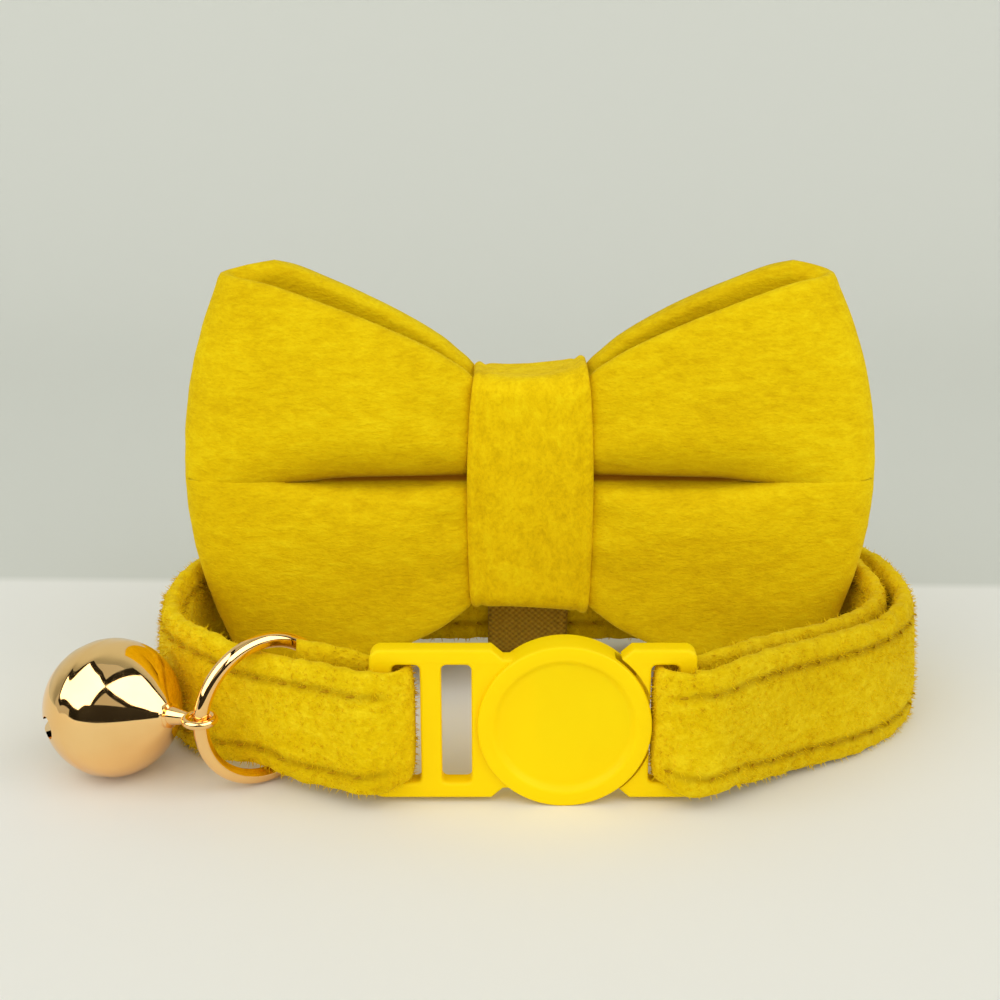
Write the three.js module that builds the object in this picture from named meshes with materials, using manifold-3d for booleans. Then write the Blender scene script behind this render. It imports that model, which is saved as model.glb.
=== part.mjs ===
// Pet bow tie collar, lying on a surface: a padded velvet strap closed in a loop by a breakaway
// buckle, a velvet bow with its knot standing inside the loop, and a bell on a ring.
// Sizes are in millimetres. X runs along the bow, Y from the buckle back to the bow, Z up.

import * as THREE from 'three';
import { mergeVertices } from 'three/addons/utils/BufferGeometryUtils.js';
import Module from 'manifold-3d';

const wasm = await Module();
wasm.setup();

// Space kept between neighbouring pieces
const clearance = 0.3;

// Padded strap
const bandHeight = 12.2;
const bandThick = 2.2;
const layerGap = 0.3;
const slotBandHeight = 10.6;
const slotBandThick = 1.3;
const bandSides = 12;
const bandSquareness = 3.4;
const restGap = 0.1;

// Buckle
const discDiameter = 15;
const discThick = 3;
const rimWidth = 1.3;
const rimDepth = 0.5;
const frameHeight = 14;
const frameThick = 1.9;
const railHeight = 1.45;
const frameBevel = 0.3;
const frameCorner = 1;
const endBarWidth = 1.9;
const strapSlotWidth = 2.4;
const middleBarWidth = 1.8;
const spareSlotWidth = 2.6;
const slotCorner = 0.5;
const socketShoulder = 8;
const plugShoulder = 7.35;
const plugBarWidth = 1.5;
const chamferWidth = 1;
const chamferDrop = 0.9;
const socketNeckInset = 1.7;
const plugNeckInset = 1.6;
const tongueThick = 0.9;
const tongueHeight = 8.4;
const tongueReach = 2;
const discOffset = 2.6;
const discFacets = 42;

// Bow
const bowWidth = 68.4;
const bowHeight = 43.4;
const bowDepth = 12;
const bowWall = 2.2;
const pinchGap = 0.5;
const pinchHeight = 21.4;
const bowPlane = 27.5;
const topTaper = 0.16;
const bottomTaper = 0.2;
const backPanelRise = 0.8;
const creaseWidth = 0.17;
const creaseCrowding = 1.5;
const hemDraw = 0.18;
const endRoundness = 0.5;
const sideGap = 0.7;
const leftPlay = 0.8;
const lowLobeShare = 0.956;

// Knot and the keeper that holds the strap behind it
const knotWidth = 12.4;
const knotWall = 1.7;
const knotWaist = 0.11;
const knotDip = 0.8;
const knotCorner = 2.6;
const keeperWidth = 8.5;
const keeperWall = 1;
const keeperCorner = 1.3;
const keeperDrop = 14.05;

// Ring and bell
const ringDiameter = 12.75;
const ringWire = 1.35;
const ringTurnAngle = 72;
const ringSqueeze = 3.2;
const bellDiameter = 12.5;
const bellWall = 0.7;
const bellReach = 10.8;
const bellYawAngle = 146;
const stemRadius = 0.55;
const eyeletWire = 0.85;
const soundSlotWidth = 1.2;
const soundHoleRadius = 1.05;
const soundSlotAngle = 60;
const bellFacets = 22;
const ringFacets = 30;

// Places that follow from the sizes
const discRadius = discDiameter / 2;
const bandPitch = bandThick + layerGap;
const wrapRadius = frameThick / 2 + clearance + slotBandThick / 2;
const wrapInset = 2 * frameBevel;
const socketLength = socketShoulder + spareSlotWidth + middleBarWidth + strapSlotWidth + endBarWidth;
const plugLength = plugShoulder + strapSlotWidth + plugBarWidth;
const barPass = endBarWidth - wrapInset + clearance;
const framePlane = discThick / 2;
const frontLayerY = framePlane - wrapRadius;
const leftWrapX = discOffset - socketLength + endBarWidth - wrapInset;
const rightWrapX = discOffset + plugLength - plugBarWidth + wrapInset;
const surfaceBandZ = bandHeight / 2 + restGap;
const bowCentreZ = bowHeight / 2;
const pinchHalfDepth = bowWall + pinchGap / 2;
const knotHalfDepth = pinchHalfDepth + clearance + knotWall;
const knotHalfHeight = pinchHeight / 2 + clearance + knotWall;
const keeperZ = bowCentreZ - keeperDrop;
const keeperHalfDepth = bandThick / 2 + clearance + keeperWall;
const keeperHalfHeight = bandHeight / 2 + clearance + keeperWall;
const backBandY = bowPlane + knotHalfDepth + clearance + keeperHalfDepth;
const lowLobeHalf = (bowWidth / 2) * lowLobeShare;
const loopLeft = lowLobeHalf + sideGap + bandThick / 2 + leftPlay;
const loopRight = lowLobeHalf + sideGap + bandThick / 2 + bandPitch;

// Strap route from the socket's end bar round the back to the plug's end bar. across is a share of
// the loop's half width on that side, back a share of the way from buckle to keeper, buckle and
// keeper how far the strap has risen from the surface to their height, full how far it has
// swelled from its squeezed size in the slots, lean its inward lean in degrees.
const route = [
  { across: -0.484, back: 0.037, buckle: 1, keeper: 0, full: 0.5, lean: 0 },
  { across: -0.582, back: 0.088, buckle: 1, keeper: 0, full: 0.9, lean: 0 },
  { across: -0.692, back: 0.153, buckle: 0.72, keeper: 0, full: 1, lean: 0 },
  { across: -0.795, back: 0.229, buckle: 0.45, keeper: 0, full: 1, lean: 1 },
  { across: -0.879, back: 0.314, buckle: 0.2, keeper: 0, full: 1, lean: 2 },
  { across: -0.948, back: 0.413, buckle: 0.05, keeper: 0, full: 1, lean: 3 },
  { across: -0.988, back: 0.52, buckle: 0, keeper: 0, full: 1, lean: 4 },
  { across: -1, back: 0.634, buckle: 0, keeper: 0, full: 1, lean: 4 },
  { across: -0.988, back: 0.76, buckle: 0, keeper: 0.1, full: 1, lean: 3 },
  { across: -0.955, back: 0.905, buckle: 0, keeper: 0.35, full: 1, lean: 2 },
  { across: -0.86, back: 1.03, buckle: 0, keeper: 0.62, full: 1, lean: 1 },
  { across: -0.67, back: 1.08, buckle: 0, keeper: 0.82, full: 1, lean: 0 },
  { across: -0.42, back: 1.05, buckle: 0, keeper: 0.95, full: 1, lean: 0 },
  { across: -0.17, back: 1, buckle: 0, keeper: 1, full: 1, lean: 0 },
  { across: 0, back: 1, buckle: 0, keeper: 1, full: 1, lean: 0 },
  { across: 0.17, back: 1, buckle: 0, keeper: 1, full: 1, lean: 0 },
  { across: 0.4, back: 1.062, buckle: 0, keeper: 0.95, full: 1, lean: 0 },
  { across: 0.62, back: 1.112, buckle: 0, keeper: 0.84, full: 1, lean: 0 },
  { across: 0.825, back: 1.1, buckle: 0, keeper: 0.62, full: 1, lean: 1 },
  { across: 0.953, back: 0.975, buckle: 0, keeper: 0.38, full: 1, lean: 2 },
  { across: 0.992, back: 0.806, buckle: 0, keeper: 0.1, full: 1, lean: 2 },
  { across: 1, back: 0.648, buckle: 0, keeper: 0, full: 1, lean: 3 },
  { across: 0.972, back: 0.515, buckle: 0, keeper: 0, full: 1, lean: 4 },
  { across: 0.893, back: 0.39, buckle: 0, keeper: 0, full: 1, lean: 5 },
  { across: 0.775, back: 0.277, buckle: 0.2, keeper: 0, full: 1, lean: 4 },
  { across: 0.645, back: 0.187, buckle: 0.45, keeper: 0, full: 1, lean: 2 },
  { across: 0.536, back: 0.1, buckle: 0.75, keeper: 0, full: 1, lean: 1 },
  { across: 0.46, back: 0.036, buckle: 1, keeper: 0, full: 0.6, lean: 0 },
];
const stepsPerRow = 3;
const tailStepsPerRow = 2;
const ringRow = 4;
const foldRows = 3.35;
const tailRows = 12.5;

// Half of the bow from the knot outwards. out is a share of its half width, tall of its half
// height, puff of its half depth, crease the share of the puff that the valley fold takes away.
const lobeSections = [
  { out: 0, tall: 0, puff: 0, crease: 0.9 },
  { out: 0.1, tall: 0, puff: 0, crease: 0.9 },
  { out: 0.2, tall: 0, puff: 0, crease: 0.95 },
  { out: 0.245, tall: 0.24, puff: 0.4, crease: 0.96 },
  { out: 0.3, tall: 0.38, puff: 0.62, crease: 0.96 },
  { out: 0.42, tall: 0.52, puff: 0.8, crease: 0.94 },
  { out: 0.56, tall: 0.67, puff: 0.93, crease: 0.86 },
  { out: 0.7, tall: 0.81, puff: 1, crease: 0.64 },
  { out: 0.85, tall: 0.94, puff: 1, crease: 0.3 },
  { out: 1, tall: 1, puff: 0.94, crease: 0.1 },
];
const bowSteps = 64;
const knotCrowding = 0.32;
const bowRows = 12;

// Bell from its widest place to its neck: along is a share of its reach, wide of its radius
const bellFlare = [
  { along: 0.139, wide: 0.968 },
  { along: 0.269, wide: 0.867 },
  { along: 0.361, wide: 0.749 },
  { along: 0.463, wide: 0.576 },
  { along: 0.556, wide: 0.392 },
  { along: 0.625, wide: 0.24 },
  { along: 0.657, wide: 0.16 },
];

// Smooth reading of a table's columns between its rows
function tableReader(table, position, columns) {
  const places = table.map(position);
  const values = table.flatMap((row) => columns.map((column) => row[column]));
  const spline = new THREE.CubicInterpolant(places, values, columns.length);
  return (place) => {
    const read = spline.evaluate(THREE.MathUtils.clamp(place, places[0], places.at(-1)));
    return Object.fromEntries(columns.map((column, index) => [column, read[index]]));
  };
}

// A closed mesh's signed volume, to turn its faces outwards
function outward(geometry) {
  const place = geometry.getAttribute('position');
  const index = geometry.getIndex().array;
  const a = new THREE.Vector3();
  const b = new THREE.Vector3();
  const c = new THREE.Vector3();
  let volume = 0;
  for (let i = 0; i < index.length; i += 3) {
    a.fromBufferAttribute(place, index[i]);
    b.fromBufferAttribute(place, index[i + 1]);
    c.fromBufferAttribute(place, index[i + 2]);
    volume += a.dot(b.cross(c));
  }
  if (volume < 0) {
    for (let i = 0; i < index.length; i += 3) {
      const second = index[i + 1];
      index[i + 1] = index[i + 2];
      index[i + 2] = second;
    }
  }
  return geometry;
}

// A skin through rows of points, each row a closed ring. The rows close on themselves,
// or both ends are capped.
function skin(rows, closed) {
  const across = rows[0].length;
  const points = rows.flat();
  const index = [];
  const spans = closed ? rows.length : rows.length - 1;
  for (let row = 0; row < spans; row += 1) {
    const next = (row + 1) % rows.length;
    for (let side = 0; side < across; side += 1) {
      const turn = (side + 1) % across;
      const a = row * across + side;
      const b = row * across + turn;
      const c = next * across + side;
      const d = next * across + turn;
      index.push(a, b, d, a, d, c);
    }
  }
  if (!closed) {
    for (const end of [0, rows.length - 1]) {
      const centre = new THREE.Vector3();
      rows[end].forEach((point) => centre.add(point));
      points.push(centre.divideScalar(across));
      for (let side = 0; side < across; side += 1) {
        const a = end * across + side;
        const b = end * across + ((side + 1) % across);
        index.push(...(end === 0 ? [points.length - 1, b, a] : [points.length - 1, a, b]));
      }
    }
  }
  const geometry = new THREE.BufferGeometry().setFromPoints(points);
  geometry.setIndex(index);
  return outward(geometry);
}

function toSolid(geometry) {
  const bare = geometry.clone();
  bare.deleteAttribute('normal');
  bare.deleteAttribute('uv');
  const merged = mergeVertices(bare, 1e-4);
  return new wasm.Manifold(new wasm.Mesh({
    numProp: 3,
    vertProperties: new Float32Array(merged.getAttribute('position').array),
    triVerts: new Uint32Array(merged.getIndex().array),
  }));
}

function toGeometry(solid) {
  const mesh = solid.getMesh();
  const geometry = new THREE.BufferGeometry();
  geometry.setAttribute('position', new THREE.BufferAttribute(mesh.vertProperties, 3));
  geometry.setIndex(new THREE.BufferAttribute(mesh.triVerts, 1));
  return geometry;
}

function piece(name, geometry, material) {
  geometry.computeVertexNormals();
  const mesh = new THREE.Mesh(geometry, material);
  mesh.name = name;
  return mesh;
}

const velvet = () => new THREE.MeshStandardMaterial({ color: '#d9b110', roughness: 0.9, metalness: 0 });
const plastic = () => new THREE.MeshStandardMaterial({ color: '#ffd60a', roughness: 0.35, metalness: 0 });
const elastic = () => new THREE.MeshStandardMaterial({ color: '#c99f12', roughness: 0.85, metalness: 0 });
const roseGold = () => new THREE.MeshStandardMaterial({ color: '#d99a72', roughness: 0.12, metalness: 1 });

// Strap route: points, and the strap's size and lean at each. It runs straight across the front
// of each end bar before it starts to swell and bend.
const atBar = { back: 0, buckle: 1, keeper: 0, full: 0, lean: 0 };
const routeRows = [
  { ...atBar, x: leftWrapX },
  { ...atBar, x: leftWrapX - barPass },
  ...route,
  { ...atBar, x: rightWrapX + barPass },
  { ...atBar, x: rightWrapX },
];
const routeCurve = new THREE.CatmullRomCurve3(routeRows.map((row) => {
  const x = row.x ?? row.across * (row.across < 0 ? loopLeft : loopRight);
  const y = frontLayerY + row.back * (backBandY - frontLayerY);
  const rise = row.buckle * (discRadius - surfaceBandZ) + row.keeper * (keeperZ - surfaceBandZ);
  return new THREE.Vector3(x, y, surfaceBandZ + rise);
}), false, 'centripetal');
const routeEnd = routeRows.length - 1;
const readRoute = tableReader(routeRows, (row, index) => index, ['full', 'lean']);

function routeStation(place) {
  const point = routeCurve.getPoint(place / routeEnd);
  const along = routeCurve.getTangent(place / routeEnd);
  if (Math.min(place, routeEnd - place) <= 1) {
    const first = place <= 1 ? 0 : routeEnd - 1;
    point.lerpVectors(routeCurve.points[first], routeCurve.points[first + 1], place - first);
    along.set(-1, 0, 0);
  }
  const inward = new THREE.Vector3(along.y, -along.x, 0).normalize();
  return { point, along, inward, ...readRoute(place) };
}

const ringStation = routeStation(ringRow);

// The inner layer leaves the bar a full wrap away and settles one layer behind the outer one
function innerStation(place, rowsFromBar) {
  const station = routeStation(place);
  const settled = THREE.MathUtils.smoothstep(rowsFromBar, 1, 3);
  const offset = THREE.MathUtils.lerp(2 * wrapRadius, bandPitch, settled);
  const backwards = new THREE.Vector3(0, 1, 0).lerp(station.inward, settled).normalize();
  station.point.addScaledVector(backwards, offset);
  return station;
}

function wrapStations(wrapX, side) {
  const stations = [];
  for (let step = 1; step < 8; step += 1) {
    const angle = side * (Math.PI / 2 - (Math.PI * step) / 8);
    const point = new THREE.Vector3(
      wrapX + side * wrapRadius * Math.cos(angle),
      framePlane + wrapRadius * Math.sin(angle),
      discRadius,
    );
    stations.push({ point, full: 0, lean: 0 });
  }
  return stations;
}

function strapStations() {
  const stations = [];
  const step = 1 / stepsPerRow;
  const foldSteps = Math.round(foldRows * stepsPerRow);
  for (let count = foldSteps; count >= 0; count -= 1) {
    stations.push(innerStation((count * foldRows) / foldSteps, (count * foldRows) / foldSteps));
  }
  stations.push(...wrapStations(leftWrapX, 1));
  for (let place = 0; place <= routeEnd + step / 2; place += step) {
    stations.push(routeStation(Math.min(place, routeEnd)));
  }
  stations.push(...wrapStations(rightWrapX, -1));
  for (let count = 0; count <= tailRows * tailStepsPerRow; count += 1) {
    stations.push(innerStation(routeEnd - count / tailStepsPerRow, count / tailStepsPerRow));
  }
  return stations;
}

// Strap section, with its edges drawn in where the ring goes round it
function strapRing(stations, index) {
  const station = stations[index];
  const before = stations[Math.max(index - 1, 0)].point;
  const after = stations[Math.min(index + 1, stations.length - 1)].point;
  const along = new THREE.Vector3().subVectors(after, before).normalize();
  const side = new THREE.Vector3(along.y, -along.x, 0).normalize();
  const up = new THREE.Vector3().crossVectors(side, along);
  const towardsNeck = station.inward && station.inward.dot(side) < 0 ? -1 : 1;
  const lean = THREE.MathUtils.degToRad(station.lean) * towardsNeck;
  side.applyAxisAngle(along, lean);
  up.applyAxisAngle(along, lean);
  const fromRing = station.point.distanceTo(ringStation.point);
  const drawnIn = (bandHeight - slotBandHeight) * Math.exp(-((fromRing / ringSqueeze) ** 2));
  const height = THREE.MathUtils.lerp(slotBandHeight, bandHeight, station.full) - drawnIn;
  const thick = THREE.MathUtils.lerp(slotBandThick, bandThick, station.full);
  const points = [];
  for (let corner = 0; corner < bandSides; corner += 1) {
    const angle = (2 * Math.PI * (corner + 0.5)) / bandSides;
    const sideShare = Math.sign(Math.cos(angle)) * Math.abs(Math.cos(angle)) ** (2 / bandSquareness);
    const upShare = Math.sign(Math.sin(angle)) * Math.abs(Math.sin(angle)) ** (2 / bandSquareness);
    points.push(station.point.clone()
      .addScaledVector(side, (sideShare * thick) / 2)
      .addScaledVector(up, (upShare * height) / 2));
  }
  return points;
}

function collarBand() {
  const stations = strapStations();
  const rows = stations.map((station, index) => strapRing(stations, index));
  return piece('collar_band', skin(rows, false), velvet());
}

// Flat plate in the buckle's plane, from an outline in X and Z about the disc's centre
function plate(shape, thick) {
  const geometry = new THREE.ExtrudeGeometry(shape, {
    depth: thick - 2 * frameBevel,
    bevelThickness: frameBevel,
    bevelSize: frameBevel,
    bevelOffset: -frameBevel,
    bevelSegments: 1,
    curveSegments: 3,
  });
  geometry.translate(0, 0, frameBevel - thick / 2);
  geometry.rotateX(Math.PI / 2);
  return geometry;
}

function slotPath(fromX, toX, corner) {
  const half = frameHeight / 2 - railHeight;
  const path = new THREE.Path();
  path.moveTo(fromX + corner, -half);
  path.lineTo(toX - corner, -half);
  path.quadraticCurveTo(toX, -half, toX, -half + corner);
  path.lineTo(toX, half - corner);
  path.quadraticCurveTo(toX, half, toX - corner, half);
  path.lineTo(fromX + corner, half);
  path.quadraticCurveTo(fromX, half, fromX, half - corner);
  path.lineTo(fromX, -half + corner);
  path.quadraticCurveTo(fromX, -half, fromX + corner, -half);
  return path;
}

// Half frame outline: side is -1 for the socket, 1 for the plug
function frameShape(side, length, neck) {
  const top = frameHeight / 2;
  const shape = new THREE.Shape();
  const at = (x, z) => [side * x, z];
  shape.moveTo(...at(0, -top + chamferDrop));
  shape.lineTo(...at(neck - chamferWidth, -top + chamferDrop));
  shape.lineTo(...at(neck, -top));
  shape.lineTo(...at(length - frameCorner, -top));
  shape.quadraticCurveTo(...at(length, -top), ...at(length, -top + frameCorner));
  shape.lineTo(...at(length, top - frameCorner));
  shape.quadraticCurveTo(...at(length, top), ...at(length - frameCorner, top));
  shape.lineTo(...at(neck, top));
  shape.lineTo(...at(neck - chamferWidth, top - chamferDrop));
  shape.lineTo(...at(0, top - chamferDrop));
  shape.closePath();
  return shape;
}

function box(width, depth, height, x, y, z) {
  const geometry = new THREE.BoxGeometry(width, depth, height);
  geometry.translate(x, y, z);
  return toSolid(geometry);
}

// Round cover with a raised rim on its front, its axis along Y
function discSolid() {
  const half = discThick / 2;
  const profile = [
    [0, -half],
    [discRadius - frameBevel, -half],
    [discRadius, frameBevel - half],
    [discRadius, half - frameBevel],
    [discRadius - frameBevel, half],
    [discRadius - rimWidth, half],
    [discRadius - rimWidth - rimDepth, half - rimDepth],
    [0, half - rimDepth],
  ];
  const geometry = new THREE.LatheGeometry(profile.map(([r, h]) => new THREE.Vector2(r, h)), discFacets);
  geometry.rotateX(Math.PI);
  return toSolid(geometry);
}

function buckleSocket() {
  const shape = frameShape(-1, socketLength, socketShoulder - socketNeckInset);
  const spareEnd = socketShoulder + spareSlotWidth;
  const strapSlot = spareEnd + middleBarWidth;
  shape.holes.push(slotPath(-spareEnd, -socketShoulder, slotCorner));
  shape.holes.push(slotPath(-strapSlot - strapSlotWidth, -strapSlot, slotCorner));
  const pocketThick = tongueThick + 2 * clearance;
  const pocketLength = tongueReach + clearance + discDiameter;
  const pocket = box(pocketLength, pocketThick, frameHeight - 2 * railHeight + 4 * clearance,
    pocketLength / 2 - tongueReach - clearance, 0, 0);
  const solid = toSolid(plate(shape, frameThick)).add(discSolid()).subtract(pocket);
  return piece('buckle_socket', toGeometry(solid), plastic());
}

function bucklePlug() {
  const shape = frameShape(1, plugLength, plugShoulder - plugNeckInset);
  shape.holes.push(slotPath(plugShoulder, plugShoulder + strapSlotWidth, slotCorner));
  const roundRadius = discRadius + clearance;
  const round = new THREE.CylinderGeometry(roundRadius, roundRadius, 2 * discThick, discFacets);
  const barHeight = frameHeight - 2 * railHeight + 2 * clearance;
  const barWidth = plugShoulder - chamferWidth - discRadius * Math.SQRT1_2;
  const tongueLength = tongueReach + plugShoulder;
  const solid = toSolid(plate(shape, frameThick))
    .subtract(toSolid(round))
    .add(box(barWidth, tongueThick, barHeight, plugShoulder - barWidth / 2, 0, 0))
    .add(box(tongueLength, tongueThick, tongueHeight, tongueLength / 2 - tongueReach, 0, 0));
  return piece('buckle_plug', toGeometry(solid), plastic());
}

// Bow: a loop of folded velvet, front and back panels joined at the outer ends.
// turn goes once round the loop seen from above, rise runs from hem to hem.
const readLobe = tableReader(lobeSections, (row) => row.out, ['tall', 'puff', 'crease']);

function bowPoint(turn, rise) {
  const out = Math.abs(Math.cos(turn));
  const lobe = readLobe(out);
  const front = Math.sin(turn) > 0;
  const round = Math.sign(Math.sin(turn)) * Math.abs(Math.sin(turn)) ** endRoundness;
  const taper = rise > 0 ? topTaper : bottomTaper;
  const halfWidth = bowWidth / 2 - bowWall / 2;
  const x = halfWidth * Math.cos(turn) * (1 - taper * rise ** 2 * out);
  const pinched = pinchHeight / 2 - bowWall / 2;
  const frontDrop = front ? backPanelRise * Math.max(rise, 0) : 0;
  const tall = pinched + (bowHeight / 2 - bowWall / 2 - frontDrop - pinched) * lobe.tall;
  const valley = 1 - lobe.crease * Math.exp(-((rise / creaseWidth) ** 2));
  const hem = 1 - hemDraw * rise ** 4;
  const pinchedDepth = pinchHalfDepth - bowWall / 2;
  const puff = (bowDepth / 2 - bowWall / 2 - pinchedDepth) * lobe.puff * valley * hem;
  const y = -round * (pinchedDepth + puff);
  return new THREE.Vector3(x, y, tall * rise);
}

function bowNormal(turn, rise) {
  const small = 1e-3;
  const around = bowPoint(turn + small, rise).sub(bowPoint(turn - small, rise));
  const upward = bowPoint(turn, rise + small).sub(bowPoint(turn, rise - small));
  const normal = new THREE.Vector3().crossVectors(upward, around).normalize();
  const outside = new THREE.Vector3(Math.cos(turn), -Math.sin(turn), 0);
  return normal.dot(outside) < 0 ? normal.negate() : normal;
}

// Rows crowd towards the valley fold at the middle
const bowRises = Array.from({ length: bowRows + 1 }, (unused, row) => {
  const level = -1 + (2 * row) / bowRows;
  return Math.sign(level) * Math.abs(level) ** creaseCrowding;
});

function bowLoop() {
  const half = bowWall / 2;
  const rows = [];
  for (let step = 0; step < bowSteps; step += 1) {
    const even = (2 * Math.PI * (step + 0.5)) / bowSteps;
    const turn = even + (knotCrowding * Math.sin(2 * even)) / 2;
    const ring = [];
    const edge = (rise) => {
      const middle = bowPoint(turn, rise);
      ring.push(middle.add(new THREE.Vector3(0, 0, Math.sign(rise) * half)));
    };
    const side = (rise, offset) => {
      ring.push(bowPoint(turn, rise).addScaledVector(bowNormal(turn, rise), offset));
    };
    bowRises.forEach((rise) => side(rise, half));
    edge(1);
    bowRises.toReversed().forEach((rise) => side(rise, -half));
    edge(-1);
    rows.push(ring);
  }
  return piece('bow_loop', skin(rows, true), velvet());
}

// Closed loop of band in the YZ plane, wide along X, with rounded edges. waist narrows it at
// the top, dip hollows the middle of its top and bottom bends.
function bandLoop({ halfDepth, halfHeight, corner, wall, width, waist, dip }) {
  const outline = [];
  const corners = [[1, 1], [-1, 1], [-1, -1], [1, -1]];
  corners.forEach(([ySide, zSide], quarter) => {
    for (let step = 0; step <= 4; step += 1) {
      const angle = ((quarter + step / 4) * Math.PI) / 2;
      const normal = new THREE.Vector2(Math.cos(angle), Math.sin(angle));
      outline.push({ y: ySide * (halfDepth - corner), z: zSide * (halfHeight - corner), normal });
    }
    const nextSide = corners[(quarter + 1) % 4];
    const straight = quarter % 2 === 0 ? 3 : 7;
    const cornerAngle = ((quarter + 1) * Math.PI) / 2;
    for (let step = 1; step < straight; step += 1) {
      const share = step / straight;
      outline.push({
        y: THREE.MathUtils.lerp(ySide, nextSide[0], share) * (halfDepth - corner),
        z: THREE.MathUtils.lerp(zSide, nextSide[1], share) * (halfHeight - corner),
        normal: new THREE.Vector2(Math.cos(cornerAngle), Math.sin(cornerAngle)),
      });
    }
  });
  const edge = wall * 0.3;
  const rows = outline.map(({ y, z, normal }) => {
    const level = (z + normal.y * corner) / halfHeight;
    const half = (width / 2) * (1 - (level > 0 ? waist : waist / 2) * level ** 2);
    const hollow = dip * Math.abs(normal.y) ** 3;
    const bend = [-0.45, 0, 0.45].map((share) => [half * share, corner - hollow * (1 - share ** 2)]);
    const section = [
      [-half, corner - wall + edge],
      [-half, corner - edge],
      [edge - half, corner],
      ...(dip > 0 ? bend : []),
      [half - edge, corner],
      [half, corner - edge],
      [half, corner - wall + edge],
      [half - edge, corner - wall],
      [edge - half, corner - wall],
    ];
    return section.map(([x, r]) => new THREE.Vector3(x, y + normal.x * r, z + normal.y * r));
  });
  return skin(rows, true);
}

function bowKnot() {
  const geometry = bandLoop({
    halfDepth: knotHalfDepth,
    halfHeight: knotHalfHeight,
    corner: knotCorner,
    wall: knotWall,
    width: knotWidth,
    waist: knotWaist,
    dip: knotDip,
  });
  return piece('bow_knot', geometry, velvet());
}

function bowKeeper() {
  const geometry = bandLoop({
    halfDepth: keeperHalfDepth,
    halfHeight: keeperHalfHeight,
    corner: keeperCorner,
    wall: keeperWall,
    width: keeperWidth,
    waist: 0,
    dip: 0,
  });
  return piece('bow_keeper', geometry, elastic());
}

// The ring stands on the surface round the strap, its plane turned from the strap's direction
const ringOuterRadius = (ringDiameter + ringWire) / 2;
const strapAngle = Math.atan2(-ringStation.along.y, -ringStation.along.x);
const ringAngle = strapAngle + THREE.MathUtils.degToRad(ringTurnAngle);
const ringCentre = new THREE.Vector3(ringStation.point.x, ringStation.point.y, ringOuterRadius + restGap);
const ringFront = ringCentre.clone().add(new THREE.Vector3(
  (-Math.cos(ringAngle) * ringDiameter) / 2,
  (-Math.sin(ringAngle) * ringDiameter) / 2,
  0,
));

function bellRing() {
  const geometry = new THREE.TorusGeometry(ringDiameter / 2, ringWire / 2, 8, ringFacets);
  geometry.rotateX(Math.PI / 2);
  const mesh = piece('bell_ring', toGeometry(toSolid(geometry)), roseGold());
  mesh.position.copy(ringCentre);
  mesh.rotation.z = ringAngle;
  return mesh;
}

// Bell about its own centre, its neck along +X and its sound slots round the far pole
function bell() {
  const radius = bellDiameter / 2;
  const domeSteps = 5;
  const profile = [];
  for (let step = 0; step <= domeSteps; step += 1) {
    const angle = Math.PI - (Math.PI / 2) * (step / domeSteps);
    profile.push(new THREE.Vector2(step === 0 ? 0 : radius * Math.sin(angle), radius * Math.cos(angle)));
  }
  bellFlare.forEach(({ along, wide }) => profile.push(new THREE.Vector2(radius * wide, bellReach * along)));
  const eyeletRadius = ringWire / 2 + clearance + eyeletWire / 2;
  const stemEnd = bellReach - eyeletRadius;
  profile.push(new THREE.Vector2(stemRadius, stemEnd));
  profile.push(new THREE.Vector2(0, stemEnd));
  const outer = new THREE.LatheGeometry(profile, bellFacets);
  outer.rotateZ(-Math.PI / 2);
  const inner = new THREE.SphereGeometry(radius - bellWall, bellFacets - 4, 10);
  inner.rotateZ(-Math.PI / 2);
  const rise = THREE.MathUtils.degToRad(soundSlotAngle);
  const slotHalf = radius * Math.sin(rise);
  const slotDepth = radius * (1 - Math.cos(rise));
  let solid = toSolid(outer).subtract(toSolid(inner));
  for (const turn of [0, Math.PI / 2]) {
    const slot = new THREE.BoxGeometry(2 * slotDepth, soundSlotWidth, 2 * slotHalf);
    slot.translate(-radius, 0, 0);
    slot.rotateX(turn);
    solid = solid.subtract(toSolid(slot));
    for (const side of [-1, 1]) {
      const hole = new THREE.CylinderGeometry(soundHoleRadius, soundHoleRadius, 3 * bellWall, 12);
      hole.translate(0, radius, 0);
      hole.rotateX(Math.PI / 2);
      hole.rotateY(-Math.PI / 2 + side * rise);
      hole.rotateX(turn);
      solid = solid.subtract(toSolid(hole));
    }
  }
  const eyelet = new THREE.TorusGeometry(eyeletRadius, eyeletWire / 2, 8, 20);
  const tilt = Math.asin((ringCentre.z - radius) / bellReach);
  eyelet.rotateY(tilt);
  eyelet.translate(bellReach, 0, 0);
  solid = solid.add(toSolid(eyelet));
  const mesh = piece('bell', toGeometry(solid), roseGold());
  const away = THREE.MathUtils.degToRad(bellYawAngle);
  const flat = bellReach * Math.cos(tilt);
  mesh.position.set(ringFront.x + flat * Math.cos(away), ringFront.y + flat * Math.sin(away), radius);
  mesh.rotation.order = 'ZYX';
  mesh.rotation.set(0, -tilt, away + Math.PI);
  return mesh;
}

const buckle = new THREE.Group();
buckle.position.set(discOffset, framePlane, discRadius);
buckle.add(buckleSocket(), bucklePlug());

const bow = new THREE.Group();
bow.position.set(0, bowPlane, bowCentreZ);
bow.add(bowLoop(), bowKnot());

const keeper = bowKeeper();
keeper.position.set(0, backBandY, keeperZ);

const collar = new THREE.Group();
collar.add(collarBand(), buckle, bow, keeper, bellRing(), bell());
collar.updateMatrixWorld(true);

// The origin goes to the middle of the collar's box, on the surface that it lies on
const bounds = new THREE.Box3().setFromObject(collar, true);
const middle = bounds.getCenter(new THREE.Vector3());
collar.position.set(-middle.x, -middle.y, -bounds.min.z);

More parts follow.
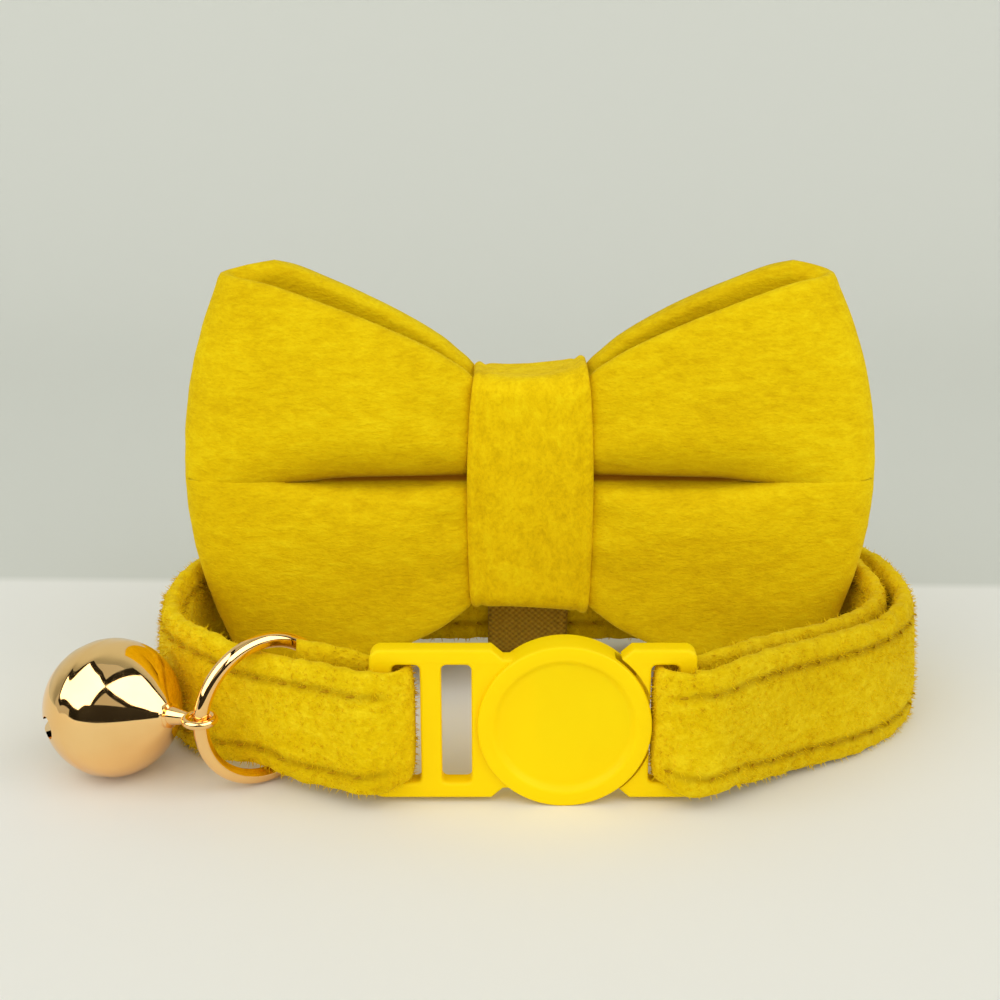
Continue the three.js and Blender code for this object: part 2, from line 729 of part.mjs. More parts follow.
const group = new THREE.Group();
group.add(collar);

export default group;
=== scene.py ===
import math
import random

import bmesh
import bpy
from mathutils import Matrix, Vector, noise


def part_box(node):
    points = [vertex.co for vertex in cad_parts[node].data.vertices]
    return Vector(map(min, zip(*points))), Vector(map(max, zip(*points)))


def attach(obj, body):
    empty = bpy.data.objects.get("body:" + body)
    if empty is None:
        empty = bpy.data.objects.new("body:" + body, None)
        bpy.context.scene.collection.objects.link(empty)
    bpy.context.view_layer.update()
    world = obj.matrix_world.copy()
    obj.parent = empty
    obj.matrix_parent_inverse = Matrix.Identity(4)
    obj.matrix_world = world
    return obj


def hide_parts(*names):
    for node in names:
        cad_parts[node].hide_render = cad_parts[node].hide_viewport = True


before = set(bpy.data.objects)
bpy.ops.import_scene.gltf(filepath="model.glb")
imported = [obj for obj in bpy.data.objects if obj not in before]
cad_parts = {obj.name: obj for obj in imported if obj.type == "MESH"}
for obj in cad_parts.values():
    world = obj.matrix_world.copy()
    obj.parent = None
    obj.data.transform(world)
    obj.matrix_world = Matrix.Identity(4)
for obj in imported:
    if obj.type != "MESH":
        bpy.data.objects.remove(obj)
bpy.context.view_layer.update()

mm = 0.001
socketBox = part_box("buckle_socket")
# Route and piece places below are in millimetres from the middle of the bow, the face of the round
# cover and the surface; this moves them to the collar's own origin
shift = Vector((socketBox[0][0] + 14.1 * mm, socketBox[0][1], socketBox[0][2]))
random.seed(11)
print("frame loaded")


def place(x, y, z):
    return Vector((x * mm, y * mm, z * mm)) + shift


def pick(*pieces):
    bpy.ops.object.select_all(action="DESELECT")
    for piece in pieces:
        piece.select_set(True)
    bpy.context.view_layer.objects.active = pieces[0]


def editAll(piece):
    pick(piece)
    bpy.ops.object.mode_set(mode="EDIT")
    bpy.ops.mesh.select_all(action="SELECT")


def objectMode():
    bpy.ops.object.mode_set(mode="OBJECT")


def closeAndTurnOut(piece, closeness=0.002 * mm):
    editAll(piece)
    bpy.ops.mesh.remove_doubles(threshold=closeness)
    bpy.ops.mesh.normals_make_consistent(inside=False)
    objectMode()


def named(name):
    piece = bpy.context.object
    piece.name = name
    piece.data.name = name
    return piece


# A flat grid that is laid along a shape: across and around run from 0 to 1, and stay as its UV map
def shapedGrid(name, acrossSteps, aroundSteps, spot):
    bpy.ops.object.select_all(action="DESELECT")
    bpy.ops.mesh.primitive_grid_add(x_subdivisions=acrossSteps, y_subdivisions=aroundSteps, size=1)
    piece = named(name)
    for vertex in piece.data.vertices:
        vertex.co = spot(vertex.co.x + 0.5, vertex.co.y + 0.5)
    return piece


# How much painted shade each vertex gets in a fold or a groove, for the cloth's colour
def keepPaintedShade(piece, depths):
    piece.data.attributes.new("hollow", "FLOAT", "POINT").data.foreach_set("value", depths)


def finishCloth(piece, slot, material, node):
    closeAndTurnOut(piece)
    bpy.ops.object.shade_smooth()
    settle(piece, slot, material, node)


def applyModifiers(piece):
    pick(piece)
    for modifier in list(piece.modifiers):
        bpy.ops.object.modifier_apply(modifier=modifier.name)


def settle(piece, slot, material, *nodes):
    pick(piece)
    bpy.ops.object.transform_apply(location=True, rotation=True, scale=True)
    piece.data.materials.clear()
    piece.data.materials.append(material)
    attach(piece, "root")
    if nodes:
        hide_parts(*nodes)
    return piece


# Smooth reading of a table by its first column
def reader(rows):
    places = [row[0] for row in rows]

    def read(at):
        at = min(max(at, places[0]), places[-1])
        index = max(i for i in range(len(rows) - 1) if places[i] <= at or i == 0)
        before, start, end, after = (rows[min(max(index + k, 0), len(rows) - 1)] for k in (-1, 0, 1, 2))
        span = end[0] - start[0]
        share = (at - start[0]) / span
        values = []
        for column in range(1, len(start)):
            leave = (end[column] - before[column]) / max(end[0] - before[0], 1e-9) * span
            arrive = (after[column] - start[column]) / max(after[0] - start[0], 1e-9) * span
            a, b = start[column], end[column]
            values.append(
                (2 * share**3 - 3 * share**2 + 1) * a + (share**3 - 2 * share**2 + share) * leave
                + (3 * share**2 - 2 * share**3) * b + (share**3 - share**2) * arrive)
        return values

    return read


def dent(offset, width):
    return math.exp(-((offset / width) ** 2))


def power(value, exponent):
    return math.copysign(abs(value) ** exponent, value)


def held(value):
    return min(max(value, 0), 1)


# Camera at the photograph's angle
cameraSpot = {"at": (-2.95, -118.9, 65.5), "down": 17.5, "lens": 54.97}
bpy.ops.object.camera_add(location=place(*cameraSpot["at"]),
                          rotation=(math.radians(90 - cameraSpot["down"]), 0, 0))
bpy.context.object.data.lens = cameraSpot["lens"]
bpy.context.object.data.sensor_width = 36
bpy.context.object.data.clip_start = 0.005
bpy.context.scene.camera = bpy.context.object
print("camera placed")


# Materials

def newGroup(name, inputs, outputs):
    group = bpy.data.node_groups.new(name, "ShaderNodeTree")
    for label, kind, value in inputs:
        socket = group.interface.new_socket(name=label, in_out="INPUT", socket_type=kind)
        if value is not None:
            socket.default_value = value
    for label, kind in outputs:
        group.interface.new_socket(name=label, in_out="OUTPUT", socket_type=kind)
    return group, group.nodes.new("NodeGroupInput"), group.nodes.new("NodeGroupOutput")


def noiseNode(tree, vector, scale, detail, roughness=0.55, distortion=0.0):
    node = tree.nodes.new("ShaderNodeTexNoise")
    node.inputs["Detail"].default_value = detail
    node.inputs["Roughness"].default_value = roughness
    node.inputs["Distortion"].default_value = distortion
    if isinstance(scale, (int, float)):
        node.inputs["Scale"].default_value = scale
    else:
        tree.links.new(scale, node.inputs["Scale"])
    tree.links.new(vector, node.inputs["Vector"])
    return node.outputs["Fac"]


def mathNode(tree, operation, first, second):
    node = tree.nodes.new("ShaderNodeMath")
    node.operation = operation
    for index, value in enumerate((first, second)):
        if isinstance(value, (int, float)):
            node.inputs[index].default_value = value
        else:
            tree.links.new(value, node.inputs[index])
    return node.outputs[0]


def spread(tree, value, low, high, toLow=0.0, toHigh=1.0):
    node = tree.nodes.new("ShaderNodeMapRange")
    for label, number in (("From Min", low), ("From Max", high), ("To Min", toLow), ("To Max", toHigh)):
        node.inputs[label].default_value = number
    tree.links.new(value, node.inputs["Value"])
    return node.outputs["Result"]


def mixColour(tree, share, first, second):
    node = tree.nodes.new("ShaderNodeMix")
    node.data_type = "RGBA"
    tree.links.new(share, node.inputs["Factor"])
    for socket, value in ((node.inputs["A"], first), (node.inputs["B"], second)):
        if isinstance(value, (tuple, list)):
            socket.default_value = (*value, 1)
        else:
            tree.links.new(value, socket)
    return node.outputs["Result"]


# Brushed velvet pile: broad hand marks, clumps of pile and fine fibre ends
def velvetPileGroup():
    group, source, target = newGroup(
        "velvet pile",
        [("Vector", "NodeSocketVector", None)]
        + [(label, "NodeSocketFloat", None) for label in ("Marks", "Clumps", "Fibres")]
        + [(label, "NodeSocketColor", None) for label in ("Deep", "Middle", "Light")],
        [("Color", "NodeSocketColor"), ("Roughness", "NodeSocketFloat"), ("Height", "NodeSocketFloat")])
    vector = source.outputs["Vector"]
    marks = noiseNode(group, vector, source.outputs["Marks"], 2, 0.5, 0.2)
    clumps = noiseNode(group, vector, source.outputs["Clumps"], 3, 0.6, 0.3)
    fibres = noiseNode(group, vector, source.outputs["Fibres"], 2, 0.7, 0.2)
    pile = mathNode(group, "ADD", mathNode(group, "MULTIPLY", clumps, 0.55),
                    mathNode(group, "MULTIPLY", fibres, 0.45))
    tone = mathNode(group, "ADD", mathNode(group, "MULTIPLY", marks, 0.32),
                    mathNode(group, "MULTIPLY", pile, 0.68))
    shaded = mixColour(group, spread(group, tone, 0.34, 0.5), source.outputs["Deep"],
                       source.outputs["Middle"])
    colour = mixColour(group, spread(group, tone, 0.5, 0.66), shaded, source.outputs["Light"])
    group.links.new(colour, target.inputs["Color"])
    group.links.new(spread(group, pile, 0.3, 0.7, 0.95, 0.72), target.inputs["Roughness"])
    group.links.new(pile, target.inputs["Height"])
    return group


velvetPile = velvetPileGroup()


def newMaterial(name, colour):
    material = bpy.data.materials.new(name)
    material.use_nodes = True
    material.diffuse_color = (*colour, 1)
    shader = material.node_tree.nodes["Principled BSDF"]
    shader.inputs["Base Color"].default_value = (*colour, 1)
    return material, material.node_tree, shader


def mapped(tree, kind, scale=(1, 1, 1), turn=(0, 0, 0)):
    source = tree.nodes.new("ShaderNodeTexCoord")
    mapping = tree.nodes.new("ShaderNodeMapping")
    mapping.inputs["Scale"].default_value = scale
    mapping.inputs["Rotation"].default_value = turn
    tree.links.new(source.outputs[kind], mapping.inputs["Vector"])
    return mapping.outputs["Vector"]


def bumped(tree, shader, height, distance, strength):
    bump = tree.nodes.new("ShaderNodeBump")
    bump.inputs["Distance"].default_value = distance
    bump.inputs["Strength"].default_value = strength
    tree.links.new(height, bump.inputs["Height"])
    tree.links.new(bump.outputs["Normal"], shader.inputs["Normal"])


def velvetMaterial(name, look):
    material, tree, shader = newMaterial(name, look["middle"])
    pile = tree.nodes.new("ShaderNodeGroup")
    pile.node_tree = velvetPile
    for label in ("Marks", "Clumps", "Fibres"):
        pile.inputs[label].default_value = look[label.lower()]
    for label in ("Deep", "Middle", "Light"):
        pile.inputs[label].default_value = (*look[label.lower()], 1)
    tree.links.new(mapped(tree, "Object", look["stretch"], look["turn"]), pile.inputs["Vector"])
    # Painted shade: the cloth's colour is mixed towards dark brown by the vertex's fold and groove shade
    # attribute
    hollow = tree.nodes.new("ShaderNodeAttribute")
    hollow.attribute_name = "hollow"
    tree.links.new(mixColour(tree, hollow.outputs["Fac"], pile.outputs["Color"], look["hollow"]),
                   shader.inputs["Base Color"])
    tree.links.new(pile.outputs["Roughness"], shader.inputs["Roughness"])
    bumped(tree, shader, pile.outputs["Height"], look["depth"], look["relief"])
    shader.inputs["Specular IOR Level"].default_value = 0.05
    shader.inputs["Sheen Weight"].default_value = look["sheen"]
    shader.inputs["Sheen Roughness"].default_value = 0.35
    shader.inputs["Sheen Tint"].default_value = (1.0, 0.88, 0.12, 1)
    return material


# The last colour in each look is the painted shade for folds and stitch grooves
bowLook = {"deep": (0.66, 0.42, 0.0003), "middle": (0.79, 0.55, 0.0008), "light": (0.89, 0.675, 0.004),
           "marks": 90.0, "clumps": 900.0, "fibres": 3000.0, "stretch": (0.55, 1, 1.35), "turn": (0, 0.2, 0),
           "depth": 0.0004, "relief": 0.5, "sheen": 0.22, "hollow": (0.20, 0.065, 0.0003)}
knotLook = {**bowLook, "middle": (0.84, 0.575, 0.0008), "light": (0.94, 0.72, 0.004),
            "stretch": (1.0, 1, 0.8)}
strapLook = {**bowLook, "light": (0.92, 0.70, 0.010), "clumps": 1000.0, "relief": 0.6,
             "stretch": (0.8, 0.8, 1.1), "turn": (0, 0, 0)}
bowVelvet = velvetMaterial("bow velvet", bowLook)
knotVelvet = velvetMaterial("knot velvet", knotLook)
strapVelvet = velvetMaterial("strap velvet", strapLook)


plasticLook = {"colour": (1.0, 0.685, 0.0002), "pale": (1.0, 0.715, 0.0006), "cloud": 90.0, "ripple": 900.0}


def plasticMaterial():
    material, tree, shader = newMaterial("buckle plastic", plasticLook["colour"])
    vector = mapped(tree, "Object")
    cloud = noiseNode(tree, vector, plasticLook["cloud"], 3)
    patches = spread(tree, cloud, 0.35, 0.65)
    tree.links.new(mixColour(tree, patches, plasticLook["colour"], plasticLook["pale"]),
                   shader.inputs["Base Color"])
    ripple = noiseNode(tree, vector, plasticLook["ripple"], 2)
    tree.links.new(spread(tree, ripple, 0.3, 0.7, 0.42, 0.52), shader.inputs["Roughness"])
    bumped(tree, shader, ripple, 0.00003, 0.2)
    shader.inputs["Specular IOR Level"].default_value = 0.08
    shader.inputs["Subsurface Weight"].default_value = 0.15
    shader.inputs["Subsurface Radius"].default_value = (1.0, 0.8, 0.3)
    shader.inputs["Subsurface Scale"].default_value = 0.001
    shader.inputs["IOR"].default_value = 1.49
    return material


goldLook = {"colour": (0.97, 0.64, 0.27), "tarnish": (0.93, 0.57, 0.22), "cloud": 160.0, "scratch": 1400.0}


def goldMaterial():
    material, tree, shader = newMaterial("rose gold plate", goldLook["colour"])
    vector = mapped(tree, "Object")
    cloud = noiseNode(tree, vector, goldLook["cloud"], 3)
    tree.links.new(mixColour(tree, spread(tree, cloud, 0.4, 0.7), goldLook["colour"], goldLook["tarnish"]),
                   shader.inputs["Base Color"])
    scratch = noiseNode(tree, vector, goldLook["scratch"], 3)
    tree.links.new(spread(tree, scratch, 0.35, 0.7, 0.03, 0.09), shader.inputs["Roughness"])
    bumped(tree, shader, cloud, 0.00005, 0.12)
    shader.inputs["Metallic"].default_value = 1.0
    return material


elasticLook = {"colour": (0.55, 0.34, 0.004), "dark": (0.34, 0.19, 0.002), "rib": 4500.0, "weft": 5200.0}


def elasticMaterial():
    material, tree, shader = newMaterial("keeper elastic", elasticLook["colour"])
    split = tree.nodes.new("ShaderNodeSeparateXYZ")
    tree.links.new(mapped(tree, "Object"), split.inputs[0])
    scaled = [mathNode(tree, "MULTIPLY", split.outputs[axis], elasticLook[run] * 2)
              for axis, run in (("X", "rib"), ("Z", "weft"))]
    ribs, weft = (mathNode(tree, "SINE", run, 0) for run in scaled)
    weave = mathNode(tree, "MULTIPLY", ribs, weft)
    tree.links.new(mixColour(tree, spread(tree, weave, -1, 1), elasticLook["dark"], elasticLook["colour"]),
                   shader.inputs["Base Color"])
    tree.links.new(spread(tree, weave, -1, 1, 0.9, 0.7), shader.inputs["Roughness"])
    bumped(tree, shader, weave, 0.0002, 0.5)
    return material


def threadMaterial():
    material, tree, shader = newMaterial("sewing thread", (0.58, 0.36, 0.002))
    twist = noiseNode(tree, mapped(tree, "Object"), 3500.0, 2)
    tree.links.new(mixColour(tree, spread(tree, twist, 0.35, 0.65), (0.40, 0.21, 0.001), (0.54, 0.32, 0.002)),
                   shader.inputs["Base Color"])
    bumped(tree, shader, twist, 0.0001, 0.5)
    shader.inputs["Roughness"].default_value = 0.7
    shader.inputs["Specular IOR Level"].default_value = 0.05
    return material


bucklePlastic = plasticMaterial()
roseGold = goldMaterial()
keeperElastic = elasticMaterial()
sewingThread = threadMaterial()
print("materials made")


# Strap: padded velvet band on its route, from its sewn end behind the socket's bar, round the neck and
# the plug's bar, to the end of its inner layer. Columns: x, y, z, thickness, height, lean in x, lean in y
strapRoute = [
    (-20.67, 5.62, 7.4, 2.17, 11.75, -0.058, 0.032), (-18.28, 4.41, 7.52, 2.02, 11.84, -0.006, 0.002),
    (-16.38, 3.97, 7.5, 1.75, 11.4, 0.008, -0.002), (-15.71, 3.83, 7.5, 1.59, 11.12, 0, 0),
    (-15.13, 3.62, 7.5, 1.42, 10.82, 0, 0), (-14.41, 3.4, 7.5, 1.3, 10.6, 0, 0),
    (-13.87, 3.4, 7.5, 1.27, 10.54, 0, 0), (-13.34, 3.4, 7.5, 1.28, 10.57, 0, 0),
    (-12.8, 3.4, 7.5, 1.3, 10.6, 0, 0), (-12.07, 3.26, 7.5, 1.3, 10.6, 0, 0),
    (-11.46, 2.84, 7.5, 1.3, 10.6, 0, 0), (-11.04, 2.23, 7.5, 1.3, 10.6, 0, 0),
    (-10.9, 1.5, 7.5, 1.3, 10.6, 0, 0), (-11.04, 0.77, 7.5, 1.3, 10.6, 0, 0),
    (-11.46, 0.16, 7.5, 1.3, 10.6, 0, 0), (-12.07, -0.26, 7.5, 1.3, 10.61, 0, 0),
    (-12.8, -0.58, 7.45, 1.68, 11.1, 0, 0), (-13.33, -0.73, 7.4, 1.95, 11.3, 0, 0),
    (-13.87, -0.76, 7.38, 2, 11.4, 0, 0), (-14.4, -0.76, 7.36, 2.05, 11.45, 0, 0),
    (-15.24, -0.45, 7.3, 2.05, 11.5, 0, 0), (-16.14, 0.1, 7.2, 2.05, 11.5, 0, 0),
    (-18.2, 1.46, 7.06, 2.05, 11.55, 0, 0), (-20.54, 2.68, 6.96, 2.11, 11.6, -0.03, 0.015),
    (-23.14, 4.16, 7.12, 2.19, 10.9, -0.05, 0.03), (-25.68, 5.81, 7, 2.21, 10.93, -0.055, 0.044),
    (-28.06, 7.63, 6.78, 2.2, 11.98, -0.049, 0.064), (-30.1, 9.56, 6.56, 2.2, 12.19, -0.03, 0.075),
    (-31.91, 11.71, 6.38, 2.2, 12.2, 0.002, 0.065), (-33.46, 14.08, 6.27, 2.2, 12.2, 0.032, 0.052),
    (-34.51, 16.54, 6.21, 2.2, 12.2, 0.058, 0.032), (-35.12, 19.13, 6.19, 2.2, 12.2, 0.07, 0.015),
    (-35.3, 21.82, 6.2, 2.2, 12.2, 0.07, -0.015), (-35.09, 24.74, 6.22, 2.2, 12.2, 0.054, -0.045),
    (-34.51, 27.94, 6.22, 2.2, 12.2, 0.034, -0.073), (-33.41, 31.22, 6.22, 2.2, 12.2, 0.002, -0.082),
    (-31.34, 34.27, 6.24, 2.2, 12.2, -0.029, -0.067), (-28.19, 36.43, 6.26, 2.2, 12.2, -0.04, -0.025),
    (-26.07, 37.08, 6.3, 2.2, 12.2, -0.036, -0.011), (-23.65, 37.45, 6.34, 2.2, 12.2, -0.03, -0.001),
    (-20.8, 37.37, 6.42, 2.2, 12.2, -0.024, 0.003), (-17.81, 36.92, 6.52, 2.2, 12.2, -0.018, 0.004),
    (-14.82, 36.4, 6.68, 2.2, 12.2, -0.014, 0.003), (-11.82, 35.8, 6.98, 2.2, 12.2, -0.009, 0.002),
    (-8.82, 35.12, 7.36, 2.2, 12.2, -0.006, 0.001), (-6, 34.65, 7.58, 2.2, 12.2, -0.004, 0),
    (-1.97, 34.6, 7.65, 2.2, 12.2, 0.001, 0), (2.05, 34.59, 7.65, 2.2, 12.2, -0.001, 0),
    (6.29, 34.65, 7.58, 2.2, 12.2, 0.004, 0.001), (9.04, 35.21, 7.36, 2.2, 12.2, 0.006, 0.002),
    (11.93, 36.04, 6.98, 2.2, 12.2, 0.009, 0.003), (14.8, 36.82, 6.68, 2.2, 12.2, 0.012, 0.003),
    (17.53, 37.52, 6.52, 2.2, 12.2, 0.015, 0.004), (20.24, 38.17, 6.42, 2.2, 12.2, 0.021, 0.005),
    (22.94, 38.58, 6.34, 2.2, 12.2, 0.03, 0.003), (25.57, 38.75, 6.3, 2.2, 12.2, 0.039, -0.004),
    (28.19, 38.7, 6.26, 2.2, 12.2, 0.044, -0.016), (30.52, 38.15, 6.24, 2.2, 12.2, 0.04, -0.035),
    (33.8, 35.4, 6.22, 2.2, 12.2, 0.013, -0.061), (35.91, 31.82, 6.22, 2.2, 12.2, -0.014, -0.078),
    (36.7, 27.85, 6.22, 2.2, 12.2, -0.028, -0.052), (37.04, 24.12, 6.23, 2.2, 12.2, -0.046, -0.021),
    (36.81, 20.71, 6.19, 2.2, 12.2, -0.058, 0.008), (35.96, 17.65, 6.2, 2.2, 12.2, -0.064, 0.027),
    (34.17, 14.66, 6.18, 2.2, 12.2, -0.066, 0.052), (31.7, 11.87, 6.26, 2.2, 12.2, -0.03, 0.089),
    (28.67, 9.31, 6.46, 2.2, 12.2, -0.001, 0.087), (25.44, 7.19, 6.67, 2.2, 12.2, 0.025, 0.07),
    (22.46, 5.13, 6.91, 2.21, 12.22, 0.043, 0.067), (19.83, 3.1, 7.17, 2.2, 12.2, 0.058, 0.069),
    (17.94, 1.53, 7.42, 1.99, 11.82, 0.066, 0.057), (16.18, 0.18, 7.3, 2.05, 11.8, 0.005, 0.001),
    (15.34, -0.41, 7.3, 2.05, 11.8, -0.01, -0.005), (14.55, -0.76, 7.3, 2.05, 11.8, -0.007, -0.002),
    (14.02, -0.76, 7.3, 2.05, 11.8, 0, 0), (13.48, -0.76, 7.3, 2.05, 11.8, 0, 0),
    (12.95, -0.7, 7.33, 1.93, 11.61, 0, 0), (12.22, -0.36, 7.45, 1.51, 10.93, 0, 0),
    (11.4, 0.14, 7.5, 1.3, 10.6, 0, 0), (10.88, 0.77, 7.5, 1.3, 10.6, 0, 0),
    (10.74, 1.5, 7.5, 1.3, 10.6, 0, 0), (10.88, 2.23, 7.5, 1.3, 10.6, 0, 0),
    (11.4, 2.86, 7.5, 1.3, 10.6, 0, 0), (12.22, 3.26, 7.5, 1.3, 10.6, 0, 0),
    (12.95, 3.4, 7.5, 1.3, 10.6, 0, 0), (13.75, 3.4, 7.5, 1.27, 10.54, 0, 0),
    (14.55, 3.4, 7.5, 1.3, 10.6, -0.009, -0.002), (15.49, 3.69, 7.52, 1.55, 11.04, 0, -0.001),
    (16.13, 3.88, 7.5, 1.84, 11.56, 0.102, 0.034), (18.3, 5.08, 7.17, 2.2, 12.2, 0.064, 0.068),
    (20.25, 6.59, 6.98, 2.22, 12.24, 0.045, 0.065), (22.42, 8.2, 6.78, 2.2, 12.2, 0.033, 0.065),
    (24.95, 9.82, 6.61, 2.2, 12.2, 0.019, 0.075), (27.14, 11.29, 6.46, 2.2, 12.2, 0.003, 0.089),
    (29.31, 13.07, 6.31, 2.2, 12.2, -0.019, 0.093), (31.14, 14.9, 6.2, 2.2, 12.2, -0.049, 0.076),
    (32.63, 16.8, 6.19, 2.2, 12.2, -0.067, 0.045), (34.22, 20.44, 6.19, 2.2, 12.2, -0.06, 0.013),
    (34.51, 24.89, 6.25, 2.2, 12.2, -0.041, -0.031), (34.23, 27.49, 6.22, 2.2, 12.2, -0.028, -0.055),
    (33.79, 30.43, 6.22, 2.2, 12.2, -0.017, -0.084), (31.51, 34.5, 6.24, 2.2, 12.2, 0.033, -0.069),
    (29.55, 35.85, 6.26, 2.2, 12.2, 0.057, -0.041), (26.86, 36.28, 6.3, 2.2, 12.2, 0.049, -0.009),
    (23.13, 36.08, 6.35, 2.2, 12.2, 0.032, 0.004), (19.48, 35.43, 6.42, 2.2, 12.2, 0.025, 0.006),
]
strap = {"steps": (620, 120), "square": 3.2, "stitchIn": 2.0, "stitchGap": 2.5, "groove": 0.34,
         "grooveWidth": 0.34, "pucker": 0.05, "clump": 0.06, "wave": 0.08, "endRound": 0.9, "shade": 0.46,
         "brushed": 0.15}
strapLengths = [0.0]
for before, after in zip(strapRoute, strapRoute[1:]):
    strapLengths.append(strapLengths[-1] + math.dist(before[:3], after[:3]))
strapLength = strapLengths[-1]
readStrap = reader([(length, *row) for length, row in zip(strapLengths, strapRoute)])
strapPlaces = {}
strapPaintedShade = []


def strapPlace(length):
    key = round(length, 4)
    if key not in strapPlaces:
        x, y, z, thick, tall, leanX, leanY = readStrap(length)
        ahead = Vector(readStrap(length + 0.05)[:3]) - Vector(readStrap(length - 0.05)[:3])
        ahead.normalize()
        up = Vector((leanX, leanY, math.sqrt(max(1 - leanX**2 - leanY**2, 0))))
        side = ahead.cross(up).normalized()
        strapPlaces[key] = (Vector((x, y, z)), side, side.cross(ahead), thick, tall)
    return strapPlaces[key]


# A spot on the strap: side is -1 or 1 for its two faces, level runs from its lower to its upper edge
def strapSpot(length, side, level, proud=0.0):
    centre, sideways, up, thick, tall = strapPlace(length)
    square = strap["square"]
    plump = (1 - min(abs(level), 1) ** square) ** (1 / square)
    edgeIn = tall / 2 * (1 - abs(level))
    stitch = dent(edgeIn - strap["stitchIn"], strap["grooveWidth"])
    swell = held((thick - 1.3) / 0.9)
    pull = 0.65 + 0.35 * math.cos(2 * math.pi * length / strap["stitchGap"])
    depth = strap["groove"] * stitch * pull * swell
    fromEnd = min(length, strapLength - length)
    end = math.sqrt(max(1 - (1 - min(fromEnd / strap["endRound"], 1)) ** 2, 0))
    half = max(thick / 2 - depth, 0.1) * plump * end
    nx, nz = plump ** (square - 1) / thick, abs(level) ** (square - 1) / tall
    size = math.hypot(nx, nz)
    normal = sideways * (side * nx / size) + up * (math.copysign(nz, level) / size)
    return centre + sideways * (side * half) + up * (level * tall / 2) + normal * proud, normal


def strapVertex(across, around):
    length = across * strapLength
    side = 1 if around < 0.5 else -1
    share = 4 * around - 1 if around < 0.5 else 3 - 4 * around
    level = math.sin(share * math.pi / 2)
    spot, normal = strapSpot(length, side, level)
    thick, tall = strapPlace(length)[3:]
    swell = held((thick - 1.3) / 0.9)
    hem = held((abs(level) - 0.66) / 0.12)
    clump = noise.noise(spot / 1.1) * strap["clump"]
    clump += noise.noise(spot / 0.55 + Vector((9, 0, 4))) * strap["clump"] * 0.6
    wave = noise.noise(spot / 3.1 + Vector((0, 7, 2))) * strap["wave"] * (0.35 + hem)
    pucker = strap["pucker"] * hem * math.cos(2 * math.pi * length / strap["stitchGap"])
    spot += normal * (clump + wave + pucker) * swell
    # Painted shade along the two stitch grooves, plus a darker stretch of the strap in front, right of the
    # buckle
    stitch = dent(tall / 2 * (1 - abs(level)) - strap["stitchIn"], strap["grooveWidth"] * 1.3)
    brushed = strap["brushed"] * held((spot.x - 11) / 7) * held((22 - spot.y) / 8)
    strapPaintedShade.append(strap["shade"] * stitch * swell + brushed)
    return place(*spot)


velvetStrap = shapedGrid("strap_velvet", *strap["steps"], strapVertex)
keepPaintedShade(velvetStrap, strapPaintedShade)
finishCloth(velvetStrap, "strap_velvet", strapVelvet, "collar_band")
print("strap laid,", round(strapLength), "mm long")


# Lock stitches in the two sewn lines of the strap, on both its faces
def stitchLine(build, pattern, side, lineLevel):
    count = int(strapLength / strap["stitchGap"])
    for index in range(count):
        length = (index + 0.5) * strap["stitchGap"]
        thick, tall = strapPlace(length)[3:]
        if min(length, strapLength - length) < 2 or thick < 1.6:
            continue
        level = lineLevel * (1 - 2 * strap["stitchIn"] / tall)
        spot, normal = strapSpot(length, side, level, -0.1)
        ahead = (strapSpot(length + 0.1, side, level)[0] - spot).normalized()
        across = normal.cross(ahead).normalized()
        turn = Matrix((ahead, across, ahead.cross(across))).transposed().to_4x4()
        first = len(build.verts)
        build.from_mesh(pattern)
        build.verts.ensure_lookup_table()
        newOnes = build.verts[first:]
        bmesh.ops.transform(build, matrix=Matrix.Translation(place(*spot)) @ turn, verts=newOnes)


def strapStitches():
    bpy.ops.object.select_all(action="DESELECT")
    bpy.ops.mesh.primitive_uv_sphere_add(segments=8, ring_count=6, radius=1)
    one = named("strap_stitches")
    for vertex in one.data.vertices:
        x, y, z = vertex.co.z, vertex.co.x, vertex.co.y  # poles to the ends
        vertex.co = Vector((power(x, 0.8) * 0.8 * mm, y * 0.13 * mm, (z * 0.10 - 0.12 * x * x) * mm))
    pattern = one.data.copy()
    build = bmesh.new()
    for side in (-1, 1):
        for lineLevel in (-1, 1):
            stitchLine(build, pattern, side, lineLevel)
    build.to_mesh(one.data)
    build.free()
    return one


# Loose ends of the pile: fine closed spikes that lean the way the strap is brushed
def strapPile():
    bpy.ops.object.select_all(action="DESELECT")
    bpy.ops.mesh.primitive_cone_add(vertices=3, radius1=1, depth=1)
    piece = named("strap_pile")
    rows = piece.modifiers.new("rows", "ARRAY")
    rows.count = pile["count"]
    applyModifiers(piece)
    pattern = [Vector(vertex.co) for vertex in piece.data.vertices[:4]]
    top = max(range(4), key=lambda index: pattern[index].z)
    for index in range(pile["count"]):
        length = random.uniform(1.5, strapLength - 1.5)
        side = random.choice((-1, 1))
        level = power(random.uniform(-1, 1), pile["edges"])
        spot, normal = strapSpot(length, side, level, pile["root"])
        ahead = strapPlace(length)[1].cross(strapPlace(length)[2])
        brush = ahead * random.uniform(-0.6, 0.9) - strapPlace(length)[2] * random.uniform(-0.5, 0.8)
        aim = (normal + brush * pile["lean"]).normalized()
        wide = aim.orthogonal().normalized()
        deep = aim.cross(wide)
        reach = pile["long"] * random.uniform(0.5, 1.1)
        for corner, base in enumerate(pattern):
            if corner == top:
                offset = aim * reach
            else:
                offset = (wide * base.x + deep * base.y) * pile["thick"]
            piece.data.vertices[4 * index + corner].co = place(*(spot + offset))
    return piece


pile = {"count": 26000, "long": 0.62, "thick": 0.05, "lean": 1.0, "root": -0.02, "edges": 0.8}
looseEnds = strapPile()
editAll(looseEnds)
bpy.ops.mesh.normals_make_consistent(inside=False)
objectMode()
settle(looseEnds, "strap_velvet", strapVelvet)
print("strap brushed")


stitches = strapStitches()
closeAndTurnOut(stitches, 0.0001 * mm)
bpy.ops.object.shade_smooth()
settle(stitches, "strap_velvet", sewingThread)
print("strap stitched")


